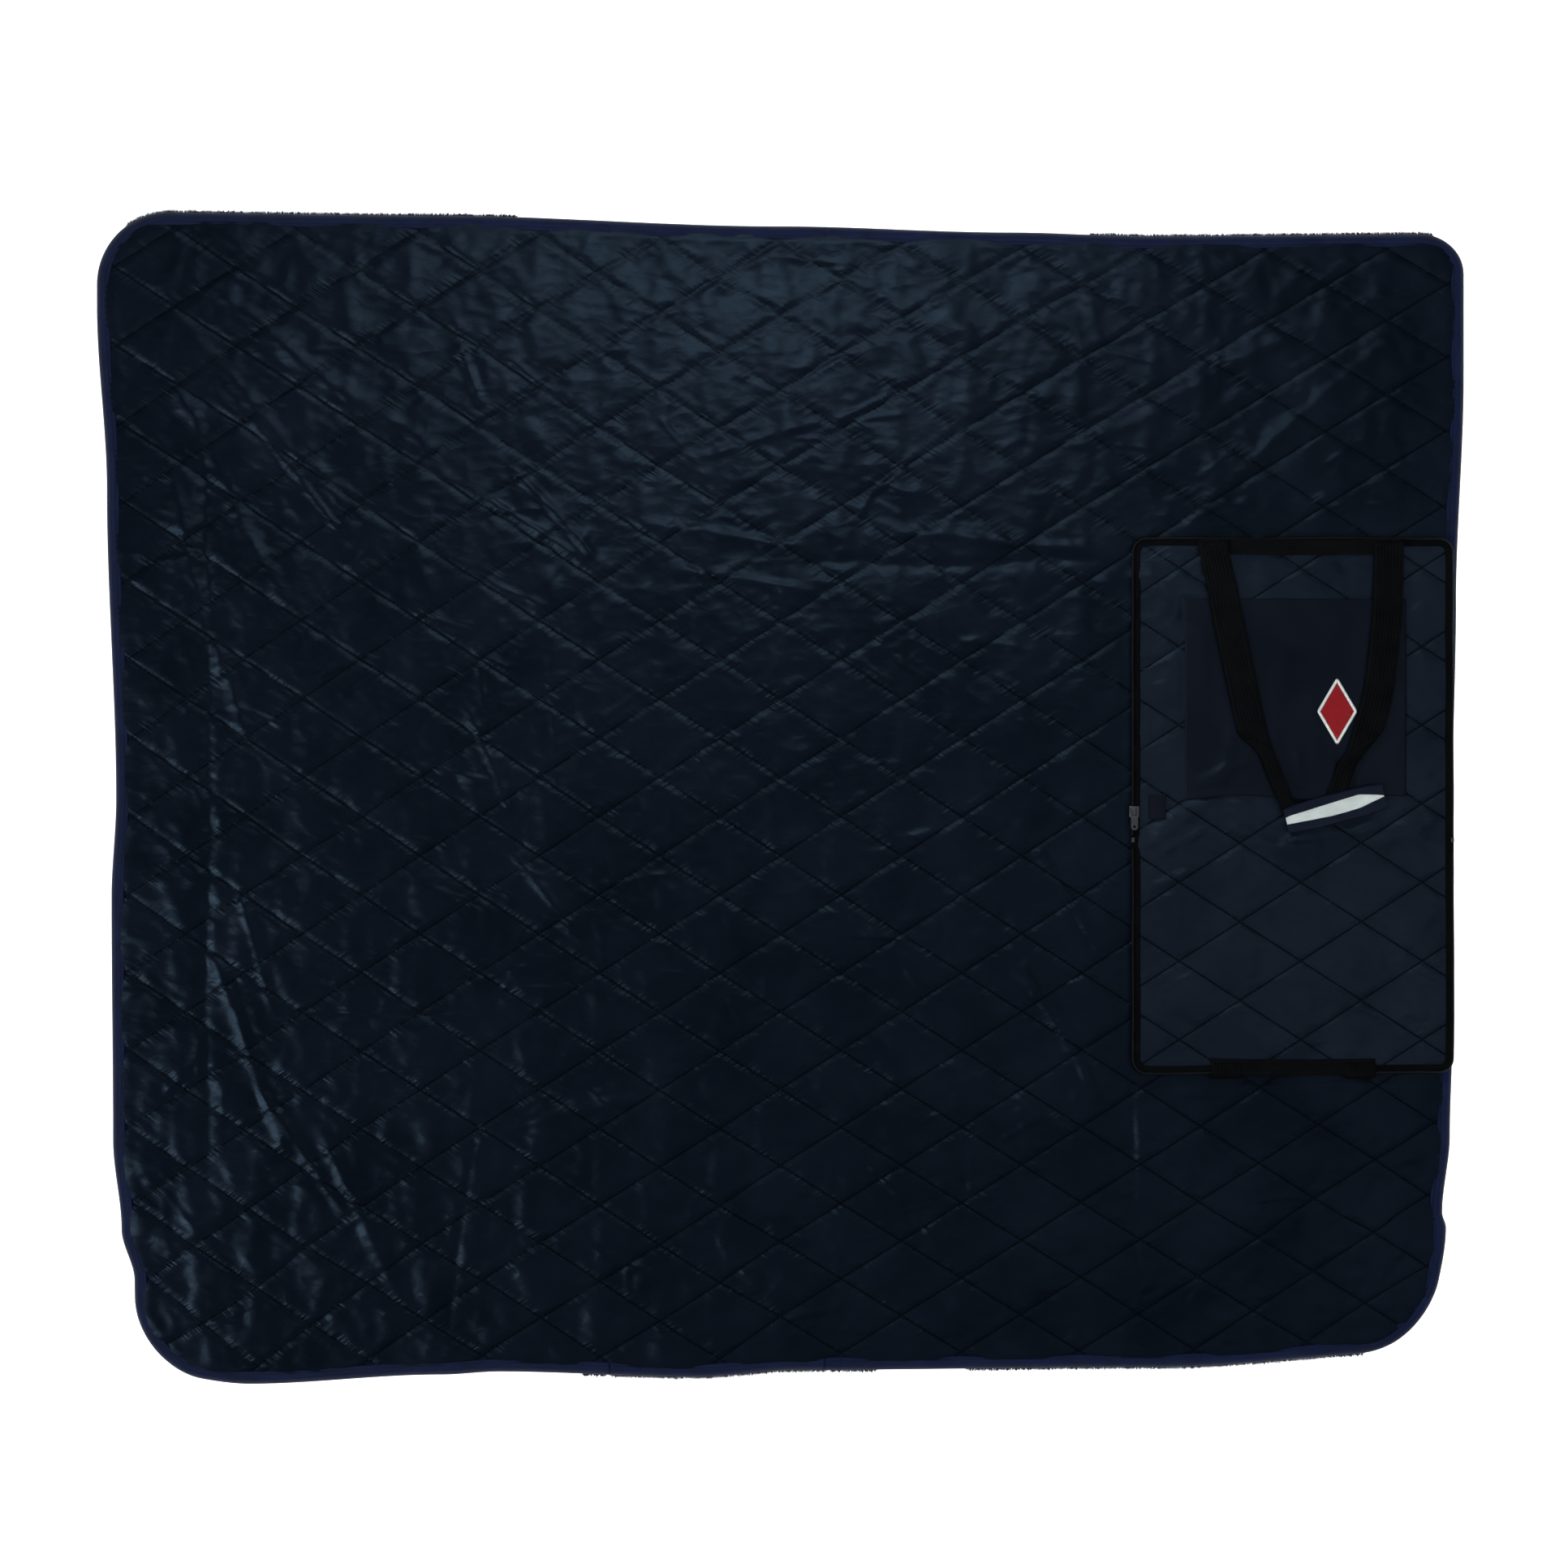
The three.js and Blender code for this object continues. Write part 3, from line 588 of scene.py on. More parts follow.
def route_steps(name, inputs):
    """Start of a tree that sets small pieces along a route: its ends, and points at even steps."""
    tree, taken, given = new_tree(name, "GeometryNodeTree",
                                  {"Geometry": "Geometry", **{size: "Float" for size in inputs}},
                                  ["Geometry"], "Geometry")
    curve = wired(tree, "GeometryNodeMeshToCurve", {"Mesh": taken.outputs["Geometry"]})
    steps = wired(tree, "GeometryNodeResampleCurve", mode="LENGTH", sockets={
        "Curve": curve.outputs["Curve"], "Length": taken.outputs["Spacing"]})
    return tree, taken, given, steps.outputs["Curve"]


def set_on_steps(tree, given, steps, piece, turn, size, chance, material):
    """End of such a tree: the piece on every step, turned and sized, as real geometry."""
    size = wired(tree, "ShaderNodeVectorMath", {0: size, "Scale": chance.outputs[1]}, operation="SCALE")
    placed = wired(tree, "GeometryNodeInstanceOnPoints", {
        "Points": steps, "Instance": piece.outputs["Mesh"], "Rotation": turn.outputs["Rotation"],
        "Scale": size.outputs[0]})
    real = wired(tree, "GeometryNodeRealizeInstances", {"Geometry": placed.outputs["Instances"]})
    coat = wired(tree, "GeometryNodeSetMaterial", {
        "Geometry": real.outputs["Geometry"], "Material": material})
    tree.links.new(coat.outputs["Geometry"], given.inputs["Geometry"])
    return tree


def repeat_tree(name, material):
    """Geometry Nodes: sets a small rounded piece at even steps along a route, turned with it."""
    tree, taken, given, steps = route_steps(name, ("Spacing", "Length", "Thickness", "Across", "Unevenness"))
    rod = wired(tree, "GeometryNodeMeshUVSphere", {"Segments": 5, "Rings": 3, "Radius": 0.5})
    size = wired(tree, "ShaderNodeCombineXYZ", {
        "X": taken.outputs["Thickness"], "Y": taken.outputs["Across"], "Z": taken.outputs["Length"]})
    tangent = tree.nodes.new("GeometryNodeInputTangent")
    aim = wired(tree, "FunctionNodeAlignRotationToVector", {"Vector": tangent.outputs["Tangent"]}, axis="Z")
    level = wired(tree, "FunctionNodeAlignRotationToVector", axis="X", pivot_axis="Z", sockets={
        "Vector": (0, 0, 1), "Rotation": aim.outputs["Rotation"]})
    smallest = sums(tree, "SUBTRACT", 1.0, taken.outputs["Unevenness"])
    chance = wired(tree, "FunctionNodeRandomValue", {"Seed": 17, 2: smallest, 3: 1.0})
    return set_on_steps(tree, given, steps, rod, level, size.outputs[0], chance, material)


def repeated(name, runs, tree, spacing, length, thickness, across=0.0, unevenness=0.1):
    """Runs a repeat tree along open routes of 3-D points and keeps the result as a plain mesh."""
    points, edges = [], []
    for run in runs:
        first = len(points)
        points.extend(tuple(float(c) for c in p) for p in run)
        edges.extend((first + i, first + i + 1) for i in range(len(run) - 1))
    route_mesh = bpy.data.meshes.new(name + "_route")
    route_mesh.from_pydata(points, edges, [])
    route = in_scene(name + "_route", route_mesh)
    modifier = route.modifiers.new("repeat", "NODES")
    modifier.node_group = tree
    values = {"Spacing": spacing, "Length": length, "Thickness": thickness, "Across": across,
              "Unevenness": unevenness}
    for item in tree.interface.items_tree:
        if item.in_out == "INPUT" and item.name in values:
            modifier[item.identifier] = values[item.name]
    shown = route.evaluated_get(bpy.context.evaluated_depsgraph_get())
    mesh = bpy.data.meshes.new_from_object(shown)
    mesh.name = name
    route.modifiers.clear()
    cleared(route)
    mesh.shade_smooth()
    return in_scene(name, mesh)


def plain(name, colour, roughness, specular=0.5, metallic=0.0):
    """Finish of a small moulded, spun or plated piece: one colour, slightly uneven gloss."""
    material, shader = new_finish(name, {"Specular IOR Level": specular, "Metallic": metallic})
    tree = material.node_tree
    place = tree.nodes.new("ShaderNodeTexCoord").outputs["Object"]
    shade = noise_texture(tree, place, 90.0, 3.0, 0.6, 0.2)
    tint = blend_colour(tree, shade, tuple(0.8 * c for c in colour), colour)
    tree.links.new(tint, shader.inputs["Base Color"])
    tree.links.new(blend_value(tree, shade, roughness * 0.8, roughness * 1.2), shader.inputs["Roughness"])
    tree.links.new(bump(tree, noise_texture(tree, place, 400.0, 2.0), 0.0003), shader.inputs["Normal"])
    return material


def seam_runs(points, a, b, steps, lift):
    """Routes of the stitch lines over a sheet. Subdividing keeps the first mesh's points first."""
    runs = []
    for across, along in ((a, b), (b, a)):
        for line in np.unique(across[across % steps == 0]):
            on = np.flatnonzero(across == line)
            on = on[np.argsort(along[on])]
            for part in np.split(on, np.flatnonzero(np.diff(along[on]) > 1) + 1):
                if len(part) > 2:
                    runs.append(points[part] + np.array((0, 0, lift)))
    return runs


def by_piece(runs):
    """Shares routes out over the sheet's three lengths."""
    parts = {"left": [], "middle": [], "right": []}
    for run in runs:
        place = np.digitize(run[:, 0], piece_edges)
        for i, side in enumerate(parts):
            inside = np.flatnonzero(place == i)
            if len(inside) > 1:
                for stretch in np.split(inside, np.flatnonzero(np.diff(inside) > 1) + 1):
                    if len(stretch) > 1:
                        parts[side].append(run[stretch])
    return parts


def over_the_folds(left, middle, right, slot):
    """Three lengths of the sheet: the left and middle ones are baked in place, and the right one is fixed to
    the right half.
    """
    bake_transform(left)
    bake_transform(middle)
    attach(right, "right_half")


thread_navy = plain("thread_navy", (0.0022, 0.0032, 0.0060), 0.6, 0.2)
stitch_tree = repeat_tree("lockstitches", thread_navy)
quilt_stitch = {"spacing": 0.0062, "length": 0.0046, "thickness": 0.0007, "across": 0.0008}
quilt_runs = by_piece(seam_runs(sheet, sheet_a, sheet_b, cells, 0.0002))
over_the_folds(*[repeated("quilting_stitches_" + side, runs, stitch_tree, **quilt_stitch)
                 for side, runs in quilt_runs.items()], "quilted_shell")


# ---- fleece underside ----------------------------------------------------------------
# The blanket's underside is a dark sherpa fleece, a knitted backing with a deep curly pile.
# It is as large as the shell, is caught in the edge tape with it, and its pile pokes out
# past the tape along the upper edge and in places along the lower one.

fleece_top = 0.0042
fleece_step = 0.0068


def square_grid(x0, x1, y0, y1, step, keep):
    """Points and faces of a square mesh over a rectangle, where keep(x, y) allows."""
    columns = max(int(round((x1 - x0) / step)), 1)
    rows = max(int(round((y1 - y0) / step)), 1)
    x, y = np.meshgrid(np.linspace(x0, x1, columns + 1), np.linspace(y0, y1, rows + 1), indexing="ij")
    kept, faces = whole_quads(keep(x, y))
    return x.ravel()[kept], y.ravel()[kept], faces


def inside_tape(x, y):
    return outline_distance(x, y) < -0.003


pile_x, pile_y, pile_faces = square_grid(-half_length, half_length, -half_width, half_width,
                                         fleece_step, inside_tape)
pile = np.stack([pile_x, pile_y, np.zeros_like(pile_x)], axis=1)
curls = 0.6 * smooth_noise(pile, 0.011, 12) + 0.5 * smooth_noise(pile, 0.028, 14)
pile[:, 0], pile[:, 1] = as_laid(pile_x, pile_y)
pile[:, 2] = fleece_top
pile_bottom = np.clip(0.0010 + 0.0012 * curls, 0.0001, 0.0030)
curl_normals = point_normals(np.column_stack([pile[:, :2], pile_bottom]), pile_faces)
fleeces = {side: closed_pad("fleece_pile_" + side, pile, pile_faces, chosen, pile_bottom,
                            straight_up(len(pile)), -curl_normals)
           for side, chosen in three_lengths(pile, pile_faces).items()}

sherpa, sherpa_shader = new_finish("sherpa_fleece", {
    "Roughness": 1.0, "Specular IOR Level": 0.1, "Sheen Weight": 0.15, "Sheen Roughness": 0.6,
    "Sheen Tint": (0.4, 0.5, 0.7, 1)})
sherpa_tree = sherpa.node_tree
sherpa_place = sherpa_tree.nodes.new("ShaderNodeTexCoord").outputs["Object"]
sherpa_curls = noise_texture(sherpa_tree, sherpa_place, 190.0, 4.0, 0.65, 0.8)
sherpa_colour = blend_colour(sherpa_tree, sherpa_curls, (0.0035, 0.0048, 0.0080), (0.0130, 0.0170, 0.0240))
sherpa_tree.links.new(sherpa_colour, sherpa_shader.inputs["Base Color"])
sherpa_tree.links.new(bump(sherpa_tree, sherpa_curls, 0.0014), sherpa_shader.inputs["Normal"])

over_the_folds(*fleeces.values(), "fleece")
rounded_off = 0.98              # share of an end length that its rounded corners leave
for side, node, flat_length, share in (("left", "fleece_left", 0.667, rounded_off),
                                       ("middle", "fleece_centre", 0.282, None),
                                       ("right", "fleece_right", 0.829, rounded_off)):
    fleeces[side].data.materials.append(sherpa)
    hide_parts(node)


# ---- edge tape ----------------------------------------------------------------------
# A navy woven tape, folded over the edge of all the layers and sewn through near its inner
# edges. It is brighter blue than the shell, and draws the edge in slightly as it goes.

tape_section = [                # inwards from the edge, and up from the floor
    (0.0170, 0.0082), (0.0150, 0.0089), (0.0136, 0.0089), (0.0128, 0.0084), (0.0120, 0.0090),
    (0.0095, 0.0094), (0.0055, 0.0093), (0.0022, 0.0083),
    (0.0004, 0.0062), (0.0000, 0.0042), (0.0006, 0.0022), (0.0026, 0.0009), (0.0070, 0.0003),
    (0.0170, 0.0003), (0.0170, 0.0010), (0.0072, 0.0011), (0.0034, 0.0016), (0.0014, 0.0027),
    (0.0009, 0.0042), (0.0013, 0.0058), (0.0030, 0.0074), (0.0058, 0.0084), (0.0100, 0.0085),
    (0.0142, 0.0080), (0.0170, 0.0074)]


def straight(start, end, step):
    count = max(int(round(math.dist(start, end) / step)), 1)
    return [(start[0] + (end[0] - start[0]) * i / count, start[1] + (end[1] - start[1]) * i / count)
            for i in range(count)]


def bend(centre, radius, from_angle, to_angle, step):
    count = max(int(round(abs(to_angle - from_angle) * radius / step)), 4)
    angles = [from_angle + (to_angle - from_angle) * i / count for i in range(count)]
    return [(centre[0] + radius * math.cos(a), centre[1] + radius * math.sin(a)) for a in angles]


def end_route(x_from, side, step=0.006):
    """Outline of one end of the flat sheet, clockwise, from and back to x_from."""
    top = corner_radii[(side, 1)]
    low = corner_radii[(side, -1)]
    end = side * half_length
    top_centre = (end - side * top, half_width - top)
    low_centre = (end - side * low, low - half_width)
    outward = 0.0 if side > 0 else math.pi
    route = straight((x_from, half_width), (top_centre[0], half_width), step)
    route += bend(top_centre, top, math.pi / 2, outward, step)
    route += straight((end, top_centre[1]), (end, low_centre[1]), step)
    route += bend(low_centre, low, outward, -math.pi / 2 if side > 0 else 1.5 * math.pi, step)
    route += straight((low_centre[0], -half_width), (x_from, -half_width), step)
    route.append((x_from, -half_width))
    return route if side > 0 else route[::-1]


def laid_route(route):
    route = np.array(route)
    return np.stack(as_laid(route[:, 0], route[:, 1]), axis=1)


def inward_of(route):
    """The directions to the right of a flat route, which runs clockwise."""
    ahead = np.gradient(route, axis=0)
    ahead /= np.linalg.norm(ahead, axis=1, keepdims=True)
    return np.stack([ahead[:, 1], -ahead[:, 0]], axis=1)


def tube_faces(first, rings, size):
    """Faces of a closed section carried along a route, with both ends capped."""
    faces = [(ring + k, ring + (k + 1) % size, ring + size + (k + 1) % size, ring + size + k)
             for ring in range(first, first + (rings - 1) * size, size) for k in range(size)]
    last = first + (rings - 1) * size
    return faces + [tuple(range(first + size - 1, first - 1, -1)), tuple(range(last, last + size))]


def facing_out(thing):
    shape = bmesh.new()
    shape.from_mesh(thing.data)
    bmesh.ops.recalc_face_normals(shape, faces=shape.faces)
    shape.to_mesh(thing.data)
    shape.free()
    return thing


def swept(name, runs, section, swell=None):
    """Sweeps a closed section along flat routes, capping both ends. The section is given as
    (inwards, up) pairs, and inwards is to the right of a route's direction."""
    points, faces = [], []
    for route in runs:
        faces += tube_faces(len(points), len(route), len(section))
        for place, across in zip(route, inward_of(route)):
            wave = swell(place) if swell else 0.0
            for reach, up in section:
                lift = wave * min(up / 0.009, 1.0)
                points.append((place[0] + across[0] * reach, place[1] + across[1] * reach, up + lift))
    return facing_out(new_mesh_object(name, points, faces))


def tape_swell(place):
    return 0.0007 * noise.noise(Vector((place[0] * 38, place[1] * 38, 2.0)))


def woven(name, dark, light, ribs, roughness=0.7, specular=0.25, rib_depth=0.00035, mapped=False):
    """Finish of a woven narrow fabric: ribs across it, fine threads and a slight shade change."""
    material, shader = new_finish(name, {"Roughness": roughness, "Specular IOR Level": specular})
    tree = material.node_tree
    place = tree.nodes.new("ShaderNodeTexCoord").outputs["Object"]
    colour = blend_colour(tree, noise_texture(tree, place, 35.0, 4.0, 0.6, 0.3), dark, light)
    if mapped:
        place = tree.nodes.new("ShaderNodeUVMap").outputs["UV"]
    normal = bump(tree, woven_height(tree, place, *ribs), rib_depth)
    normal = bump(tree, noise_texture(tree, place, 60.0, 3.0, 0.6, 0.5), 0.0006, 0.7, normal)
    tree.links.new(colour, shader.inputs["Base Color"])
    tree.links.new(normal, shader.inputs["Normal"])
    return material


right_run = laid_route(end_route(piece_edges[1], 1))
left_run = laid_route(end_route(piece_edges[0], -1))
middle_top, middle_low = [
    laid_route(straight((x0, y), (x1, y), 0.006) + [(x1, y)])
    for x0, x1, y in ((*piece_edges, half_width), (*piece_edges[::-1], -half_width))]
edge_runs = {"left": [left_run], "middle": [middle_top, middle_low], "right": [right_run]}
tapes = {side: swept("edge_tape_" + side, runs, tape_section, tape_swell) for side, runs in edge_runs.items()}
tape_navy = woven("edge_tape_navy", (0.0012, 0.0030, 0.0160), (0.0024, 0.0058, 0.0270),
                  (0.0011, 0.0011), 0.42)
for piece in tapes.values():
    piece.data.materials.append(tape_navy)
over_the_folds(*tapes.values(), "binding")
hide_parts("binding_left")
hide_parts("binding_centre_top", "binding_centre_bottom")
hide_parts("binding_right")


def inset_run(route, inset, level, swell=0.0):
    """A route moved inwards along the sheet, at a level."""
    inner = route + inward_of(route) * inset
    return np.column_stack([inner, [level + swell * tape_swell(place) for place in route]])


over_the_folds(*[repeated("tape_stitches_" + side, [inset_run(run, 0.0128, 0.0087, 1.0) for run in runs],
                          stitch_tree, spacing=0.0040, length=0.0030, thickness=0.0005, across=0.0006)
                 for side, runs in edge_runs.items()], "binding")


# ---- pile at the edge ---------------------------------------------------------------
# Where the tape has caught less of the fleece, curls of its pile poke out past the tape:
# along the upper edge near both corners, and here and there along the lower edge.

def tuft_tree(material):
    """Geometry Nodes: small pointed tufts along a route, each leaning outwards its own way."""
    tree, taken, given, steps = route_steps("pile_tufts", ("Spacing", "Length", "Thickness"))
    tuft = wired(tree, "GeometryNodeMeshCone", {
        "Vertices": 4, "Radius Top": 0.08, "Radius Bottom": 0.5, "Depth": 1.0})
    size = wired(tree, "ShaderNodeCombineXYZ", {
        "X": taken.outputs["Thickness"], "Y": taken.outputs["Thickness"], "Z": taken.outputs["Length"]})
    tangent = tree.nodes.new("GeometryNodeInputTangent")
    outward = wired(tree, "ShaderNodeVectorMath", {0: (0, 0, 1), 1: tangent.outputs["Tangent"]},
                    operation="CROSS_PRODUCT")
    stray = wired(tree, "FunctionNodeRandomValue", data_type="FLOAT_VECTOR", sockets={
        "Min": (-0.9, -0.9, 0.0), "Max": (0.9, 0.9, 0.35), "Seed": 5})
    lean = wired(tree, "ShaderNodeVectorMath", {0: outward.outputs[0], 1: stray.outputs[0]})
    aim = wired(tree, "FunctionNodeAlignRotationToVector", {"Vector": lean.outputs[0]}, axis="Z")
    chance = wired(tree, "FunctionNodeRandomValue", {"Seed": 23, 2: 0.5, 3: 1.15})
    return set_on_steps(tree, given, steps, tuft, aim, size.outputs[0], chance, material)


pile_shows = [(1, -0.850, -0.340), (1, 0.400, 0.850), (-1, -0.260, 0.130), (-1, 0.240, 0.760)]
pile_runs = []
for route in (left_run, middle_top, middle_low, right_run):
    for edge, x_from, x_to in pile_shows:
        on = np.flatnonzero((np.sign(route[:, 1]) == edge) & (np.abs(route[:, 1]) > 0.68)
                            & (route[:, 0] >= x_from) & (route[:, 0] <= x_to))
        if len(on) > 2:
            for inset, level in ((0.0012, 0.0018), (0.0006, 0.0029), (0.0008, 0.0042)):
                pile_runs.append(inset_run(route[on], inset, level))
tuft_shape = tuft_tree(sherpa)
over_the_folds(*[repeated("pile_tufts_" + side, runs, tuft_shape, spacing=0.0011, length=0.0048,
                          thickness=0.0016)
                 for side, runs in by_piece(pile_runs).items()], "fleece")


# ---- tote cover ---------------------------------------------------------------------
# A panel of the same quilted satin, lined and filled, sewn to the blanket by its upper half.
# The lower half is loose and folds up over the upper one, and the zip then closes the two
# round the folded blanket. Where it lies half folded, the cloth stands up in a soft ridge.

cover_low_box, cover_high_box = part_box("zip_tape_front"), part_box("zip_tape_back")
cover_left, cover_right = cover_low_box[0][0], cover_low_box[1][0]
cover_top, cover_bottom = cover_low_box[1][1], cover_high_box[0][1]
cover_fold = cover_low_box[0][1]
front_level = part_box("cover_lining_front")[0][2]
back_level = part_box("cover_lining_back")[0][2]
cover_corner = 0.020
pad_inset = 0.0065              # how far the pad stops inside the cover's outline
under_tape = 0.0125             # width of the zip tape, with its wander
cover_lattice = (0.675, -0.1095)
cover_cells = 14
cover_seam = 0.0022             # height of its stitch lines above its underside
cover_puff = 0.0058


def cover_distance(x, y):
    """Distance outside the cover's outline, negative inside it."""
    return rounded_box(x - (cover_left + cover_right) / 2, y - (cover_top + cover_bottom) / 2,
                       (cover_right - cover_left) / 2, (cover_top - cover_bottom) / 2, cover_corner)


def cover_base(y):
    """The underside's level: the lower half lies higher, on the tucked-in back handle."""
    t = np.clip((cover_fold + 0.02 - y) / 0.07, 0, 1)
    return front_level + (back_level - front_level) * t * t * (3 - 2 * t)


def inside_cover(x, y):
    return cover_distance(x, y) < -pad_inset


pad, pad_faces, pad_a, pad_b = stitched_sheet(
    cover_lattice, cover_cells, inside_cover, cover_distance, 0.014,
    {"height": 0.005, "pressure": 1.2, "slack": 0.055}, (0.015, 23))
pad[:, 2] = settled(pad[:, 2], cover_puff)
pad, pad_faces = smoothed(pad, pad_faces)

# The pad's rim is drawn out level, so that no gap shows at the tape.
rim = np.unique(rim_edges(pad_faces, len(pad)))
nudge = 0.0001
rim_x, rim_y = pad[rim, 0], pad[rim, 1]
rim_out = np.stack([cover_distance(rim_x + nudge, rim_y) - cover_distance(rim_x - nudge, rim_y),
                    cover_distance(rim_x, rim_y + nudge) - cover_distance(rim_x, rim_y - nudge)], axis=1)
rim_out /= np.linalg.norm(rim_out, axis=1, keepdims=True)
pad[rim, :2] += rim_out * np.maximum(-pad_inset - cover_distance(rim_x, rim_y), 0)[:, None]
pad_lattice = pillowed(pad, cover_lattice, 0.0020)

under_pocket = (np.abs(pad[:, 0] - 0.668) < 0.150) & (pad[:, 1] > -0.002) & (pad[:, 1] < 0.262)
pad[:, 2] = np.where(under_pocket, np.minimum(pad[:, 2], 0.0024), pad[:, 2])
cover_creases = [
    ((0.462, -0.070), (0.600, 0.030), 0.011, 0.0052), ((0.480, -0.078), (0.560, -0.038), 0.006, 0.0024),
    ((0.545, -0.020), (0.668, -0.078), 0.009, 0.0034), ((0.640, -0.060), (0.800, -0.034), 0.009, 0.0030),
    ((0.760, -0.070), (0.866, -0.016), 0.010, 0.0030), ((0.470, -0.120), (0.540, -0.092), 0.006, 0.0024),
    ((0.470, 0.300), (0.520, 0.220), 0.005, 0.0016), ((0.474, 0.140), (0.516, 0.060), 0.005, 0.0018),
    ((0.816, 0.220), (0.862, 0.120), 0.005, 0.0016), ((0.560, -0.140), (0.640, -0.200), 0.006, 0.0018),
    ((0.700, -0.130), (0.800, -0.180), 0.006, 0.0018), ((0.480, -0.250), (0.560, -0.300), 0.005, 0.0016),
    ((0.720, -0.260), (0.820, -0.300), 0.005, 0.0016), ((0.660, -0.040), (0.700, -0.120), 0.005, 0.0016),
]
pad_relief = np.zeros(len(pad))
for start, end, crease_width, crease_height in cover_creases:
    pad_relief += crease(pad[:, 0], pad[:, 1], start, end, crease_width, crease_height, lean=0.4)
for _ in range(46):
    middle = dice.uniform((cover_left + 0.02, cover_bottom + 0.02), (cover_right - 0.02, cover_top - 0.02))
    turn = dice.normal(0.0, 0.8)
    reach = 0.5 * dice.uniform(0.02, 0.07) * np.array((math.cos(turn), math.sin(turn)))
    pad_relief += crease(pad[:, 0], pad[:, 1], middle - reach, middle + reach,
                         dice.uniform(0.002, 0.004), dice.uniform(0.0006, 0.0016), lean=0.5)
pad_edge = np.clip(-cover_distance(pad[:, 0], pad[:, 1]) / 0.03, 0, 1)
pad[:, 2] += pad_relief * pad_edge * np.where(under_pocket, 0.1, 1.0)
pad[:, 2] = np.maximum(pad[:, 2], -0.0012) + cover_seam

# Under the zip tape the pad stays low, and from its inner edge the pillows rise.
past_tape = np.maximum(-cover_distance(pad[:, 0], pad[:, 1]) - under_tape, 0)
pad[:, 2] = np.minimum(pad[:, 2], 0.0034 + 0.9 * past_tape) + cover_base(pad[:, 1])

# Folded up, the lower half comes down over the handle's grip, so its pillows are low there.
fold_level = 0.0263
grip_low_box, grip_high_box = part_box("grip_wrap")
grip_top = grip_high_box[2] + 0.0010
beside_grip = np.hypot(
    np.maximum(np.maximum(grip_low_box[0] - pad[:, 0], pad[:, 0] - grip_high_box[0]), 0),
    np.maximum(np.maximum(2 * cover_fold - grip_high_box[1] - pad[:, 1],
                          pad[:, 1] - 2 * cover_fold + grip_low_box[1]), 0))
headroom = 2 * fold_level - grip_top + 0.3 * np.maximum(beside_grip - 0.012, 0)
pad[:, 2] = np.where(pad[:, 1] < cover_fold, np.minimum(pad[:, 2], headroom), pad[:, 2])
cover_pad = closed_pad("cover_panel", pad, pad_faces, np.ones(len(pad_faces), bool), cover_base(pad[:, 1]),
                       point_normals(pad, pad_faces), straight_up(len(pad), -1.0), pad_lattice)
cover_satin = satin("cover_satin", (0.0026, 0.0040, 0.0070), (0.0048, 0.0070, 0.0112), (0.30, 0.45))
cover_pad.data.materials.append(cover_satin)


def across_cover_fold(thing):
    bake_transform(thing)


across_cover_fold(cover_pad)
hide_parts("cover_shell_front", "cover_batting_front", "cover_lining_front",
            "cover_shell_back", "cover_batting_back", "cover_lining_back")


# ---- zip ----------------------------------------------------------------------------
# Black zip tape sewn round the cover, with a nylon coil along its outer edge. One run goes
# round the upper half and the other round the lower half, and they meet at the fold.

tape_level = 0.0024             # above the cover's underside


def fixed_to(body, thing, slot, *stands_for):
    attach(thing, body)
    if stands_for:
        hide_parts(*stands_for)


def round_cover(step):
    """Outline of the cover, clockwise, starting and ending at the fold on its left edge."""
    left, right, top, low, r = cover_left, cover_right, cover_top, cover_bottom, cover_corner
    end = (left, cover_fold - 0.0005)
    corners = [((left, top - r), (left + r, top - r), math.pi, (left + r, top)),
               ((right - r, top), (right - r, top - r), math.pi / 2, (right, top - r)),
               ((right, low + r), (right - r, low + r), 0.0, (right - r, low)),
               ((left + r, low), (left + r, low + r), -math.pi / 2, (left, low + r))]
    route, here = [], (left, cover_fold)
    for into, centre, angle, out_of in corners:
        route += straight(here, into, step) + bend(centre, r, angle, angle - math.pi / 2, step / 2)
        here = out_of
    return np.array(route + straight(here, end, step) + [end])


def cover_wander(route):
    """The sewn edge isn't quite straight: it drifts to either side of its line."""
    drift = np.array([0.0016 * noise.noise(Vector((p[0] * 9, p[1] * 9, 7.0))) for p in route])
    return route + inward_of(route) * drift[:, None]


zip_route = cover_wander(round_cover(0.005))
zip_section = [(0.0004, 0.0006), (0.0000, 0.0013), (0.0006, 0.0021), (0.0030, 0.0024), (0.0036, 0.0016),
               (0.0090, 0.0017), (0.0112, 0.0019), (0.0112, 0.0008), (0.0060, 0.0005)]
zip_tape = swept("zip_tape", [zip_route], zip_section)
for vertex in zip_tape.data.vertices:
    vertex.co.z += tape_level + float(cover_base(np.array(vertex.co.y)))
zip_black = woven("zip_tape_black", (0.0006, 0.0006, 0.0007), (0.0014, 0.0014, 0.0016), (0.0009, 0.0009),
                  0.7, 0.12)
zip_tape.data.materials.append(zip_black)
across_cover_fold(zip_tape)
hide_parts("zip_tape_front", "zip_tape_back")


coil_black = plain("zip_coil_black", (0.006, 0.006, 0.007), 0.42)
coil_tree = repeat_tree("zip_coil_turns", coil_black)
coil_inset = 0.0017


def coil_run(upper):
    """The coil's route along one half of the cover, kept clear of the fold."""
    clear = 0.010
    chosen = zip_route[:, 1] > cover_fold + clear if upper else zip_route[:, 1] < cover_fold - clear
    inner = (zip_route + inward_of(zip_route) * coil_inset)[chosen]
    return np.column_stack([inner, tape_level + 0.0030 + cover_base(inner[:, 1])])


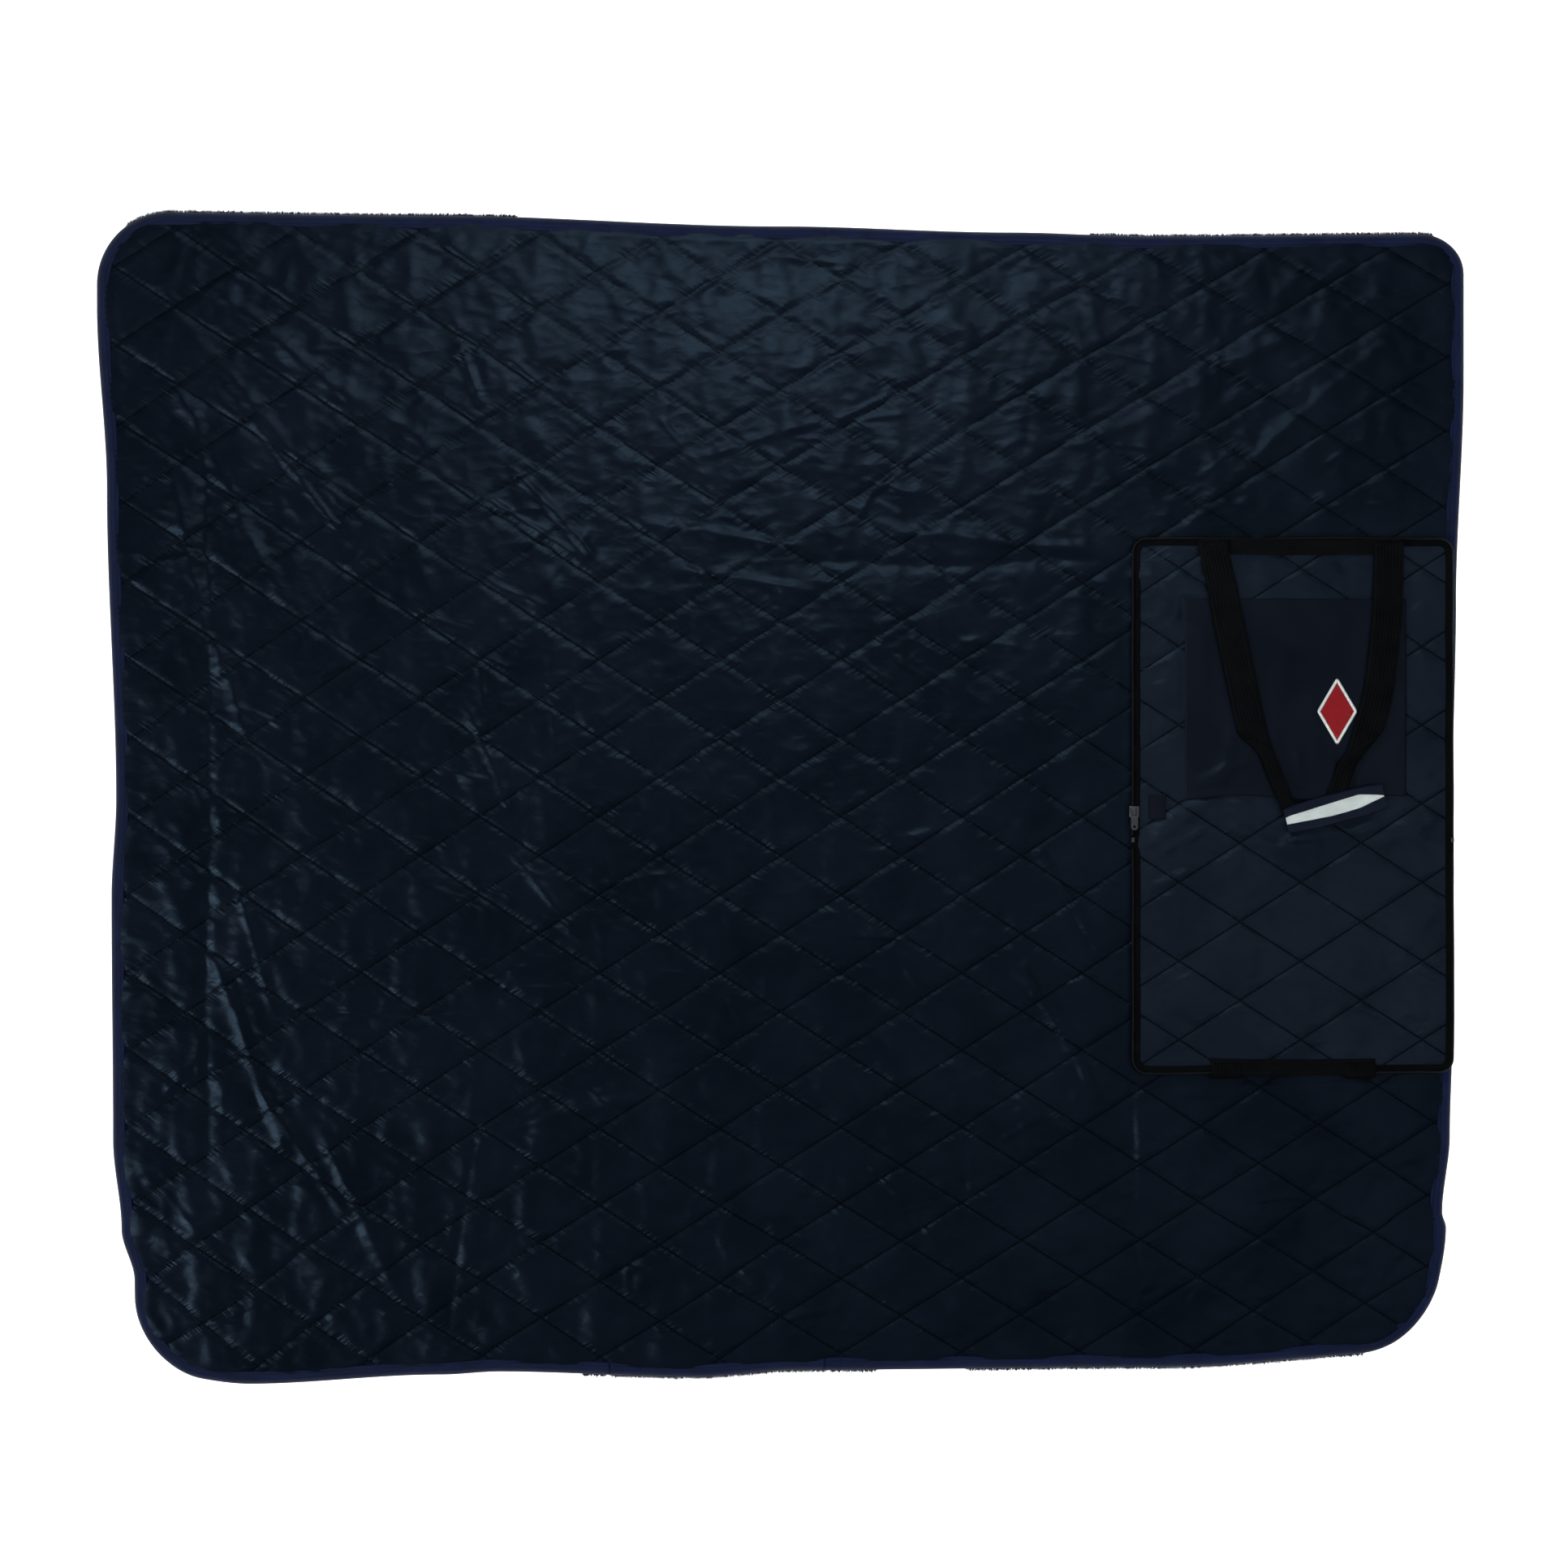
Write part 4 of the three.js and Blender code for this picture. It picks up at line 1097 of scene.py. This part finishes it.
for half, upper, body in (("front", True, "right_half"), ("back", False, "back_cover")):
    coil = repeated("zip_coil_turns_" + half, [coil_run(upper)], coil_tree, spacing=0.0016, length=0.0011,
                    thickness=0.0019, across=0.0030, unevenness=0.0)
    fixed_to(body, coil, "zip_coil", "zip_coil_" + half)
zip_metal = plain("zip_metal", (0.16, 0.16, 0.17), 0.38, metallic=0.9)


def rounded_metal(name, node, edge):
    """A copy of a CAD piece with its edges rounded over, as die casting leaves them."""
    mesh = nodes[node].data.copy()
    mesh.name = name
    shape = bmesh.new()
    shape.from_mesh(mesh)
    bmesh.ops.remove_doubles(shape, verts=shape.verts, dist=0.00001)
    bmesh.ops.dissolve_limit(shape, angle_limit=math.radians(1), verts=shape.verts, edges=shape.edges)
    bmesh.ops.recalc_face_normals(shape, faces=shape.faces)
    shape.to_mesh(mesh)
    shape.free()
    mesh.materials.clear()
    mesh.materials.append(zip_metal)
    thing = in_scene(name, mesh)
    over = thing.modifiers.new("edges", "BEVEL")
    over.width = edge
    over.segments = 3
    over.limit_method = "ANGLE"
    over.angle_limit = math.radians(28)
    mesh.shade_smooth()
    return thing


for node, body, edge in (("zip_slider_body", "zip_slider", 0.0009), ("zip_pull_tab", "zip_pull", 0.0004),
                         ("zip_stop_left", "right_half", 0.0005), ("zip_stop_right", "right_half", 0.0005)):
    fixed_to(body, rounded_metal(node + "_cast", node, edge), "zip_metal", node)


# ---- pocket -------------------------------------------------------------------------
# A plain square of the same cloth with no fill, sewn to the cover along its top and sides.
# Its mouth is a turned hem that faces the cover's fold and stands slightly open.

(pocket_left, pocket_low, _), (pocket_right, pocket_top, _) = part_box("pocket_panel")
pocket_cloth = 0.0008
pocket_seat = 0.0172            # the sewn edges, on the cover's upper side
pocket_folds = [
    ((0.656, 0.200), (0.630, 0.045), 0.013, 0.0024), ((0.688, 0.150), (0.695, 0.020), 0.009, 0.0020),
    ((0.732, 0.245), (0.700, 0.150), 0.013, 0.0018), ((0.622, 0.250), (0.604, 0.100), 0.012, 0.0018),
    ((0.670, 0.064), (0.676, 0.004), 0.006, 0.0020), ((0.712, 0.058), (0.722, 0.004), 0.007, 0.0019),
    ((0.594, 0.110), (0.566, 0.004), 0.010, 0.0026), ((0.640, 0.090), (0.656, 0.004), 0.006, 0.0014),
    ((0.775, 0.200), (0.762, 0.010), 0.011, 0.0016), ((0.535, 0.015), (0.620, 0.052), 0.009, 0.0026),
    ((0.742, 0.060), (0.752, 0.002), 0.006, 0.0016), ((0.545, 0.230), (0.552, 0.080), 0.009, 0.0012),
]


def pocket_height(x, y):
    """How far the loose cloth stands above its sewn edges."""
    from_seam = np.minimum(np.minimum(x - pocket_left, pocket_right - x), pocket_top - y)
    free = 1 - np.exp(-np.clip(from_seam, 0, 1) / 0.010)
    rise = 0.0012 + 0.0012 * np.clip(1 - (y - pocket_low) / 0.12, 0, 1)
    for start, end, crease_width, crease_height in pocket_folds:
        rise = rise + crease(x, y, start, end, crease_width, crease_height, lean=0.3)
    hem = 0.0007 * np.exp(-((y - pocket_low - 0.012) / 0.0022) ** 2)
    return pocket_seat + np.clip(free * rise, 0, 0.0062) - free * hem


def on_pocket(line, lift):
    """A flat route laid on the pocket."""
    return np.array([(x, y, float(pocket_height(np.array(x), np.array(y))) + lift) for x, y in line])


def thickened(thing, thickness, rounds=0):
    """Gives a single layer of cloth its thickness, below it, and rounds it where asked."""
    wall = thing.modifiers.new("cloth", "SOLIDIFY")
    wall.thickness = thickness
    wall.offset = -1
    if rounds:
        rounding = thing.modifiers.new("soft", "SUBSURF")
        rounding.levels = rounding.render_levels = rounds


cloth_x, cloth_y, cloth_faces = square_grid(pocket_left, pocket_right, pocket_low, pocket_top, 0.0024,
                                            lambda x, y: np.ones_like(x, bool))
cloth_top = np.stack([cloth_x, cloth_y, pocket_height(cloth_x, cloth_y)], axis=1)
cloth_top[:, 2] += 0.00025 * smooth_noise(cloth_top, 0.010, 31)
cloth_top[:, 1] += 0.003 * np.clip(1 - (cloth_y - pocket_low) / 0.05, 0, 1) * np.sin(cloth_x * 34)
pocket = new_mesh_object("pocket_patch", cloth_top, cloth_faces)
thickened(pocket, pocket_cloth)
pocket_satin = satin("pocket_satin", (0.0018, 0.0022, 0.0040), (0.0034, 0.0042, 0.0070), (0.34, 0.44),
                     crinkle=0.0002, quilted=False)
pocket.data.materials.append(pocket_satin)
fixed_to("right_half", pocket, "pocket_cloth", "pocket_panel")

seam_in = 0.003
seam_left, seam_right, seam_top = pocket_left + seam_in, pocket_right - seam_in, pocket_top - seam_in
pocket_seams = [on_pocket(line, 0.0002) for line in (
    straight((seam_left, pocket_low), (seam_left, seam_top), 0.004)
    + straight((seam_left, seam_top), (seam_right, seam_top), 0.004)
    + straight((seam_right, seam_top), (seam_right, pocket_low), 0.004),
    straight((pocket_left + 0.008, pocket_low + 0.012), (pocket_right - 0.008, pocket_low + 0.012), 0.003))]
across_cover_fold(repeated("cover_stitches", seam_runs(pad, pad_a, pad_b, cover_cells, 0.0002), stitch_tree,
                           **quilt_stitch))
fixed_to("right_half", repeated("pocket_stitches", pocket_seams, stitch_tree, spacing=0.0034, length=0.0026,
                                thickness=0.0005, across=0.0006), "pocket_cloth")


# ---- emblem -------------------------------------------------------------------------
# A plain red lozenge embroidered straight on to the pocket, with a white satin-stitch edge.
# It lies partly under the right-hand strap.

(emblem_x0, emblem_y0, _), (emblem_x1, emblem_y1, _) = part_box("emblem_patch")
emblem_middle = ((emblem_x0 + emblem_x1) / 2, (emblem_y0 + emblem_y1) / 2)
emblem_half = ((emblem_x1 - emblem_x0) / 2, (emblem_y1 - emblem_y0) / 2)
around = 48


def on_lozenge(share, turn):
    """A point on the lozenge's outline, shrunk to share of its size, at turn from 0 to 4."""
    corners = [(1, 0), (0, 1), (-1, 0), (0, -1), (1, 0)]
    k = int(turn) % 4
    t = turn - int(turn)
    u, v = (corners[k][i] + (corners[k + 1][i] - corners[k][i]) * t for i in range(2))
    return emblem_middle[0] + emblem_half[0] * share * u, emblem_middle[1] + emblem_half[1] * share * v


backing_points, backing_faces = [], []
backing_rings = (0.25, 0.5, 0.75, 0.93, 1.0)
for lift in (0.0006, 0.0):
    for ring in backing_rings:
        drop = 0.0004 if ring == 1.0 and lift else 0.0
        backing_points += on_pocket([on_lozenge(0.95 * ring, 4 * i / around) for i in range(around)],
                                    lift - drop).tolist()
size = len(backing_rings) * around
beside = [(i, (i + 1) % around) for i in range(around)]
for base in (0, size):
    backing_faces.append(tuple(range(base, base + around)))
    backing_faces += [(ring + i, ring + around + i, ring + around + j, ring + j)
                      for ring in range(base, base + size - around, around) for i, j in beside]
backing_faces += [(size - around + j, size - around + i, 2 * size - around + i, 2 * size - around + j)
                  for i, j in beside]
emblem = facing_out(new_mesh_object("emblem_backing", backing_points, backing_faces))
thread_red = plain("thread_red", (0.24, 0.0065, 0.010), 0.5, 0.35)
thread_white = plain("thread_white", (0.62, 0.64, 0.60), 0.5, 0.35)
emblem.data.materials.append(thread_red)
fixed_to("right_half", emblem, "emblem", "emblem_patch")

red_rows = []
filled = 0.80                   # share of the lozenge that the red stitches fill
rows = int(2 * emblem_half[1] * filled / 0.00062)
for i in range(rows):
    v = -filled + 2 * filled * (i + 0.5) / rows
    half_run = emblem_half[0] * (filled - abs(v))
    if half_run >= 0.0012:
        xs = np.linspace(emblem_middle[0] - half_run + 0.00024 * (i % 3), emblem_middle[0] + half_run, 9)
        red_rows.append(on_pocket([(x, emblem_middle[1] + emblem_half[1] * v) for x in xs], 0.0008))
red_fill = repeated("emblem_red_fill", red_rows, repeat_tree("emblem_fill_stitches", thread_red),
                    spacing=0.0030, length=0.0042, thickness=0.0006, across=0.0008)
white_edge = repeated("emblem_white_edge", [on_pocket([on_lozenge(0.89, i / 24) for i in range(97)], 0.0010)],
                      repeat_tree("emblem_edge_stitches", thread_white), spacing=0.00045, length=0.0007,
                      thickness=0.0011, across=0.0050, unevenness=0.08)
for thing in (red_fill, white_edge):
    fixed_to("right_half", thing, "emblem")


# ---- webbing ------------------------------------------------------------------------
# Black ribbed webbing, 38 mm wide. A band is sewn across the cover's upper edge and another
# across its lower edge, and a carrying handle comes out from under each of them. Towards the
# grip the straps are folded lengthwise, so they narrow, and the grip's wrap is closed on them.

strap_wide = 0.038
strap_thick = 0.0019


def smooth_route(stops, step=0.004):
    """A smooth curve through the stops, as evenly spaced points."""
    stops = np.array(stops)
    ends = np.vstack([2 * stops[0] - stops[1], stops, 2 * stops[-1] - stops[-2]])
    curve = []
    for i in range(1, len(ends) - 2):
        p0, p1, p2, p3 = ends[i - 1:i + 3]
        count = max(int(np.linalg.norm(p2 - p1) / step), 1)
        for t in np.arange(count) / count:
            curve.append(0.5 * (2 * p1 + (p2 - p0) * t + (2 * p0 - 5 * p1 + 4 * p2 - p3) * t ** 2
                                + (3 * p1 - p0 - 3 * p2 + p3) * t ** 3))
    curve.append(stops[-1])
    return np.array(curve)


def webbing(name, stops, width, turned_in=None, side=1, thick=strap_thick, across=None):
    """Webbing laid along a route. turned_in(place) gives where its lengthwise crease lies, as a
    distance from the middle; beyond the crease the web is folded back over itself."""
    route = smooth_route(stops)
    ahead = np.gradient(route, axis=0)
    ahead /= np.linalg.norm(ahead, axis=1, keepdims=True)
    right = np.cross(ahead, (0, 0, 1)) if across is None else np.tile(across, (len(ahead), 1)).astype(float)
    right /= np.linalg.norm(right, axis=1, keepdims=True)
    above = np.cross(right, ahead)
    along = np.concatenate([[0], np.cumsum(np.linalg.norm(np.diff(route, axis=0), axis=1))])
    half = width / 2
    turn_r = 0.75 * thick
    shares = np.linspace(-half, half, 27)
    points, place_on = [], []
    for i, middle in enumerate(route):
        crease_at = turned_in(middle) if turned_in else half + 1
        centre_line = []
        for u in shares:
            over = u - crease_at
            if over <= 0:
                centre_line.append((u, 0.0, (0, 1)))
            elif over < math.pi * turn_r:
                angle = over / turn_r
                centre_line.append((crease_at + turn_r * math.sin(angle), turn_r * (1 - math.cos(angle)),
                                    (-math.sin(angle), math.cos(angle))))
            else:
                centre_line.append((crease_at - (over - math.pi * turn_r), 2 * turn_r, (0, -1)))
        upper, lower = [], []
        for k, (s, h, (ns, nh)) in enumerate(centre_line):
            at_edge = min(k, len(shares) - 1 - k)
            body = thick / 2 * (0.45 if at_edge == 0 else 0.92 if at_edge == 1 else 1.0)
            upper.append((s + ns * body, h + nh * body, shares[k]))
            lower.append((s - ns * body, h - nh * body, shares[k]))
        for s, h, u in upper + lower[::-1]:
            points.append(middle + right[i] * s * side + above[i] * h)
            place_on.append((u, along[i]))
    faces = tube_faces(0, len(route), 2 * len(shares))
    thing = facing_out(new_mesh_object(name, points, faces))
    chart = thing.data.uv_layers.new(name="along_the_web")
    for corner in thing.data.loops:
        chart.data[corner.index].uv = place_on[corner.vertex_index]
    thing.data.materials.append(web_black)
    return thing


web_black = woven("webbing_black", (0.0006, 0.0006, 0.0007), (0.0016, 0.0016, 0.0018), (0.0042, 0.0013),
                  roughness=0.66, specular=0.12, rib_depth=0.0005, mapped=True)


def lies_on(thing, node, body):
    fixed_to(body, thing, "webbing", node)


anchors = (("handle_anchor_front", "right_half"), ("handle_anchor_back", "back_cover"))
for node, body in anchors:
    (x0, y0, z0), (x1, y1, z1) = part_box(node)
    band_y, band_z = (y0 + y1) / 2, (z0 + z1) / 2 - 0.0006
    band = webbing(node + "_web", [(x0, band_y, band_z), ((x0 + x1) / 2, band_y - 0.0012, band_z),
                                   (x1, band_y, band_z)], y1 - y0)
    lies_on(band, node, body)


def foot_crease(high, low, narrowest):
    """The crease moves in from the strap's edge between two distances up the cover."""
    def at(place):
        t = min(max((high - place[1]) / (high - low), 0.0), 1.0)
        return strap_wide / 2 + 0.0035 + (narrowest - strap_wide / 2 - 0.0035) * t * t * (3 - 2 * t)
    return at


root_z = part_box("front_strap_left")[0][2] + strap_thick / 2 + 0.0002
lying_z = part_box("front_strap_left")[1][2] - strap_thick / 2 - 0.0006
left_stops = [(0.561, 0.331, root_z), (0.5665, 0.300, root_z + 0.0006), (0.574, 0.268, lying_z),
              (0.5805, 0.232, lying_z), (0.6000, 0.140, lying_z - 0.0006), (0.6165, 0.068, lying_z - 0.0014),
              (0.6400, 0.008, lying_z - 0.0024), (0.6560, -0.030, lying_z - 0.0038)]
right_stops = [(0.789, 0.331, root_z), (0.7885, 0.300, root_z + 0.0006), (0.7875, 0.268, lying_z),
               (0.7860, 0.232, lying_z), (0.7755, 0.140, lying_z - 0.0004), (0.7600, 0.080, lying_z - 0.0010),
               (0.7435, 0.024, lying_z - 0.0022), (0.7330, -0.006, lying_z - 0.0038)]
strap_left = webbing("front_strap_left_web", left_stops, strap_wide, foot_crease(0.104, 0.052, -0.002), 1)
strap_right = webbing("front_strap_right_web", right_stops, strap_wide, foot_crease(0.118, 0.030, -0.006), -1)
lies_on(strap_left, "front_strap_left", "front_handle")
lies_on(strap_right, "front_strap_right", "front_handle")
strap_loop = webbing("front_strap_loop_web", [(0.6620, -0.0305, lying_z - 0.0032),
                                              (0.7000, -0.0210, lying_z - 0.0032),
                                              (0.7400, -0.0107, lying_z - 0.0032)], 0.020)
lies_on(strap_loop, "front_strap_loop", "front_handle")

# The back straps come off the band, go round the cover's lower edge and lie under it.
for node in ("back_strap_left", "back_strap_right"):
    (x0, y0, z0), (x1, y1, z1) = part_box(node)
    x, low_z, high_z = (x0 + x1) / 2, z0 + strap_thick / 2, z1 - strap_thick / 2 + 0.0004
    rim = y0 + strap_thick / 2
    strap_back = webbing(node + "_web", [(x, rim + 0.0190, high_z), (x, rim + 0.0070, high_z),
                                         (x, rim + 0.0012, high_z - 0.0012), (x, rim, (low_z + high_z) / 2),
                                         (x, rim + 0.0012, low_z + 0.0010), (x, rim + 0.0070, low_z),
                                         (x + 0.0020, (y0 + y1) / 2, low_z), (x, y1, low_z)],
                         x1 - x0, across=(1, 0, 0))
    lies_on(strap_back, node, "back_cover")
(x0, y0, z0), (x1, y1, z1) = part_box("back_strap_loop")
y, z = (y0 + y1) / 2, (z0 + z1) / 2
loop_back = webbing("back_strap_loop_web", [(x0, y, z), (x1, y, z)], y1 - y0, thick=z1 - z0)
lies_on(loop_back, "back_strap_loop", "back_cover")

(x0, y0, z0), (x1, y1, z1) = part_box("zip_garage")
x, z = (x0 + x1) / 2, (z0 + z1) / 2
garage = webbing("zip_garage_tab", [(x, y0, z), (x, y1, z)], x1 - x0, thick=z1 - z0)
garage.data.materials[0] = woven("garage_navy", (0.0008, 0.0014, 0.0040), (0.0016, 0.0026, 0.0064),
                                 (0.0011, 0.0011), 0.6)
lies_on(garage, "zip_garage", "right_half")


def box_stitch(x, y, half_x, half_y, level):
    """A sewn rectangle with a cross in it, as routes of points."""
    a, b, c, d = [(x + u * half_x, y + v * half_y) for u, v in ((-1, -1), (1, -1), (1, 1), (-1, 1))]
    lines = [sum([straight(p, q, 0.003) for p, q in zip(corners, corners[1:])], []) + [corners[-1]]
             for corners in ((a, b, c, d, a), (a, c), (b, d))]
    return [np.array([(px, py, level) for px, py in line]) for line in lines]


thread_black = plain("thread_black", (0.0012, 0.0012, 0.0013), 0.5, 0.3)
web_tree = repeat_tree("webbing_stitches", thread_black)
web_top = root_z + strap_thick / 2 + 0.0002
front_tacks = (box_stitch(0.5615, 0.3225, 0.0150, 0.0062, web_top)
               + box_stitch(0.7890, 0.3225, 0.0150, 0.0062, web_top))
tacks = repeated("front_handle_stitches", front_tacks, web_tree, spacing=0.0026, length=0.0021,
                 thickness=0.0006, across=0.0008)
fixed_to("front_handle", tacks, "webbing")
for node, body in anchors:
    (x0, y0, z0), (x1, y1, z1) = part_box(node)
    level = (z0 + z1) / 2 - 0.0006 + strap_thick / 2 + 0.0002
    rows = [np.array([(x, y, level) for x in np.linspace(x0 + 0.003, x1 - 0.003, 60)])
            for y in (y0 + 0.0025, y1 - 0.0025)]
    fixed_to(body, repeated(node + "_stitches", rows, web_tree, spacing=0.0032, length=0.0025,
                            thickness=0.0006, across=0.0007), "webbing")


# ---- grip ---------------------------------------------------------------------------
# A padded wrap of navy cloth closed round the straps where the hand holds them. Here it lies
# with its slit up, and the slit shows the pale fabric that it is lined with.

grip_centre = (0.719, -0.016)
grip_turn = math.radians(14.5)
grip_low = 0.0215
grip_high = 0.0300
grip_reach = 0.066
slit_upper = ((-0.066, 0.0060), (-0.060, 0.0074), (0.002, 0.0106), (0.034, 0.0120), (0.056, 0.0060),
              (0.066, 0.0024))
slit_lower = ((-0.066, -0.0020), (-0.006, -0.0058), (0.031, -0.0047), (0.066, 0.0020))
wrap_upper = 0.0215
wrap_lower = -0.0170
wrap_thick = 0.0014


def on_grip(u, v, z):
    c, s = math.cos(grip_turn), math.sin(grip_turn)
    return grip_centre[0] + u * c - v * s, grip_centre[1] + u * s + v * c, z


def edge_at(u, stops):
    return float(np.interp(u, [p[0] for p in stops], [p[1] for p in stops]))


def wrap_path(u):
    """The wrap's cross-section at u along the grip, from the slit's upper lip round to its lower lip."""
    taper = 1 - 0.16 * (abs(u) / grip_reach) ** 4
    top, low = edge_at(u, slit_upper), edge_at(u, slit_lower)
    far, near = wrap_upper * taper, wrap_lower * taper
    wave = 0.0006 * math.sin(u * 150) + 0.0004 * math.sin(u * 61 + 1)
    roll = 0.0042
    path = [(top, grip_high - 0.0006 + wave), (top + 0.002, grip_high + 0.0002 + wave),
            (max(far - roll, top + 0.004), grip_high - 0.0003 + wave)]
    for i in range(1, 6):
        angle = math.pi * i / 6
        path.append((far - roll + roll * math.sin(angle),
                     (grip_high + grip_low) / 2 + (grip_high - grip_low) / 2 * math.cos(angle)))
    path += [(far * 0.5, grip_low), (0.0, grip_low - 0.0001), (near * 0.5, grip_low)]
    for i in range(1, 6):
        angle = math.pi * i / 6
        path.append((near + roll - roll * math.sin(angle),
                     (grip_high + grip_low) / 2 - (grip_high - grip_low) / 2 * math.cos(angle)))
    path += [(min(near + roll, low - 0.004), grip_high - 0.0006 - wave),
             (low - 0.002, grip_high - 0.0004 - wave), (low, grip_high - 0.0011 - wave)]
    return path


stations = 45


def strip_faces(rows, across):
    return [(i * across + k, (i + 1) * across + k, (i + 1) * across + k + 1, i * across + k + 1)
            for i in range(rows - 1) for k in range(across - 1)]


wrap_points = []
for u in np.linspace(-grip_reach, grip_reach, stations).tolist():
    wrap_points += [on_grip(u, v, z) for v, z in wrap_path(u)]
grip_wrap = new_mesh_object("grip_wrap_cloth", wrap_points,
                            strip_faces(stations, len(wrap_points) // stations))
thickened(grip_wrap, wrap_thick, 2)
grip_navy = woven("grip_navy", (0.0024, 0.0040, 0.0100), (0.0044, 0.0072, 0.0170), (0.0008, 0.0008), 0.55)
grip_wrap.data.materials.append(grip_navy)
fixed_to("front_handle", grip_wrap, "pocket_cloth", "grip_wrap")

lining_points = []
lining_across = 15
lining_under = 0.0045           # how far the lining runs in under the slit's lips
for u in np.linspace(0.0006 - grip_reach, grip_reach - 0.0006, stations).tolist():
    low, top = edge_at(u, slit_lower) - lining_under, edge_at(u, slit_upper) + lining_under
    for v in np.linspace(low, top, lining_across).tolist():
        z = grip_high - 0.0024
        z += 0.0007 * math.sin(u * 95 + v * 160) + 0.0009 * noise.noise(Vector((u * 60, v * 90, 3)))
        z += 0.0012 * math.exp(-((v - 0.002 - 0.1 * u) / 0.0016) ** 2)
        lining_points.append(on_grip(u, v, min(z, grip_high - 0.0014)))
grip_lining = new_mesh_object("grip_lining_cloth", lining_points, strip_faces(stations, lining_across))
thickened(grip_lining, 0.0006, 2)
lining_pale = woven("lining_pale", (0.46, 0.50, 0.47), (0.60, 0.64, 0.61), (0.0006, 0.0006), 0.8, 0.2)
grip_lining.data.materials.append(lining_pale)
fixed_to("front_handle", grip_lining, "grip_lining", "grip_lining")
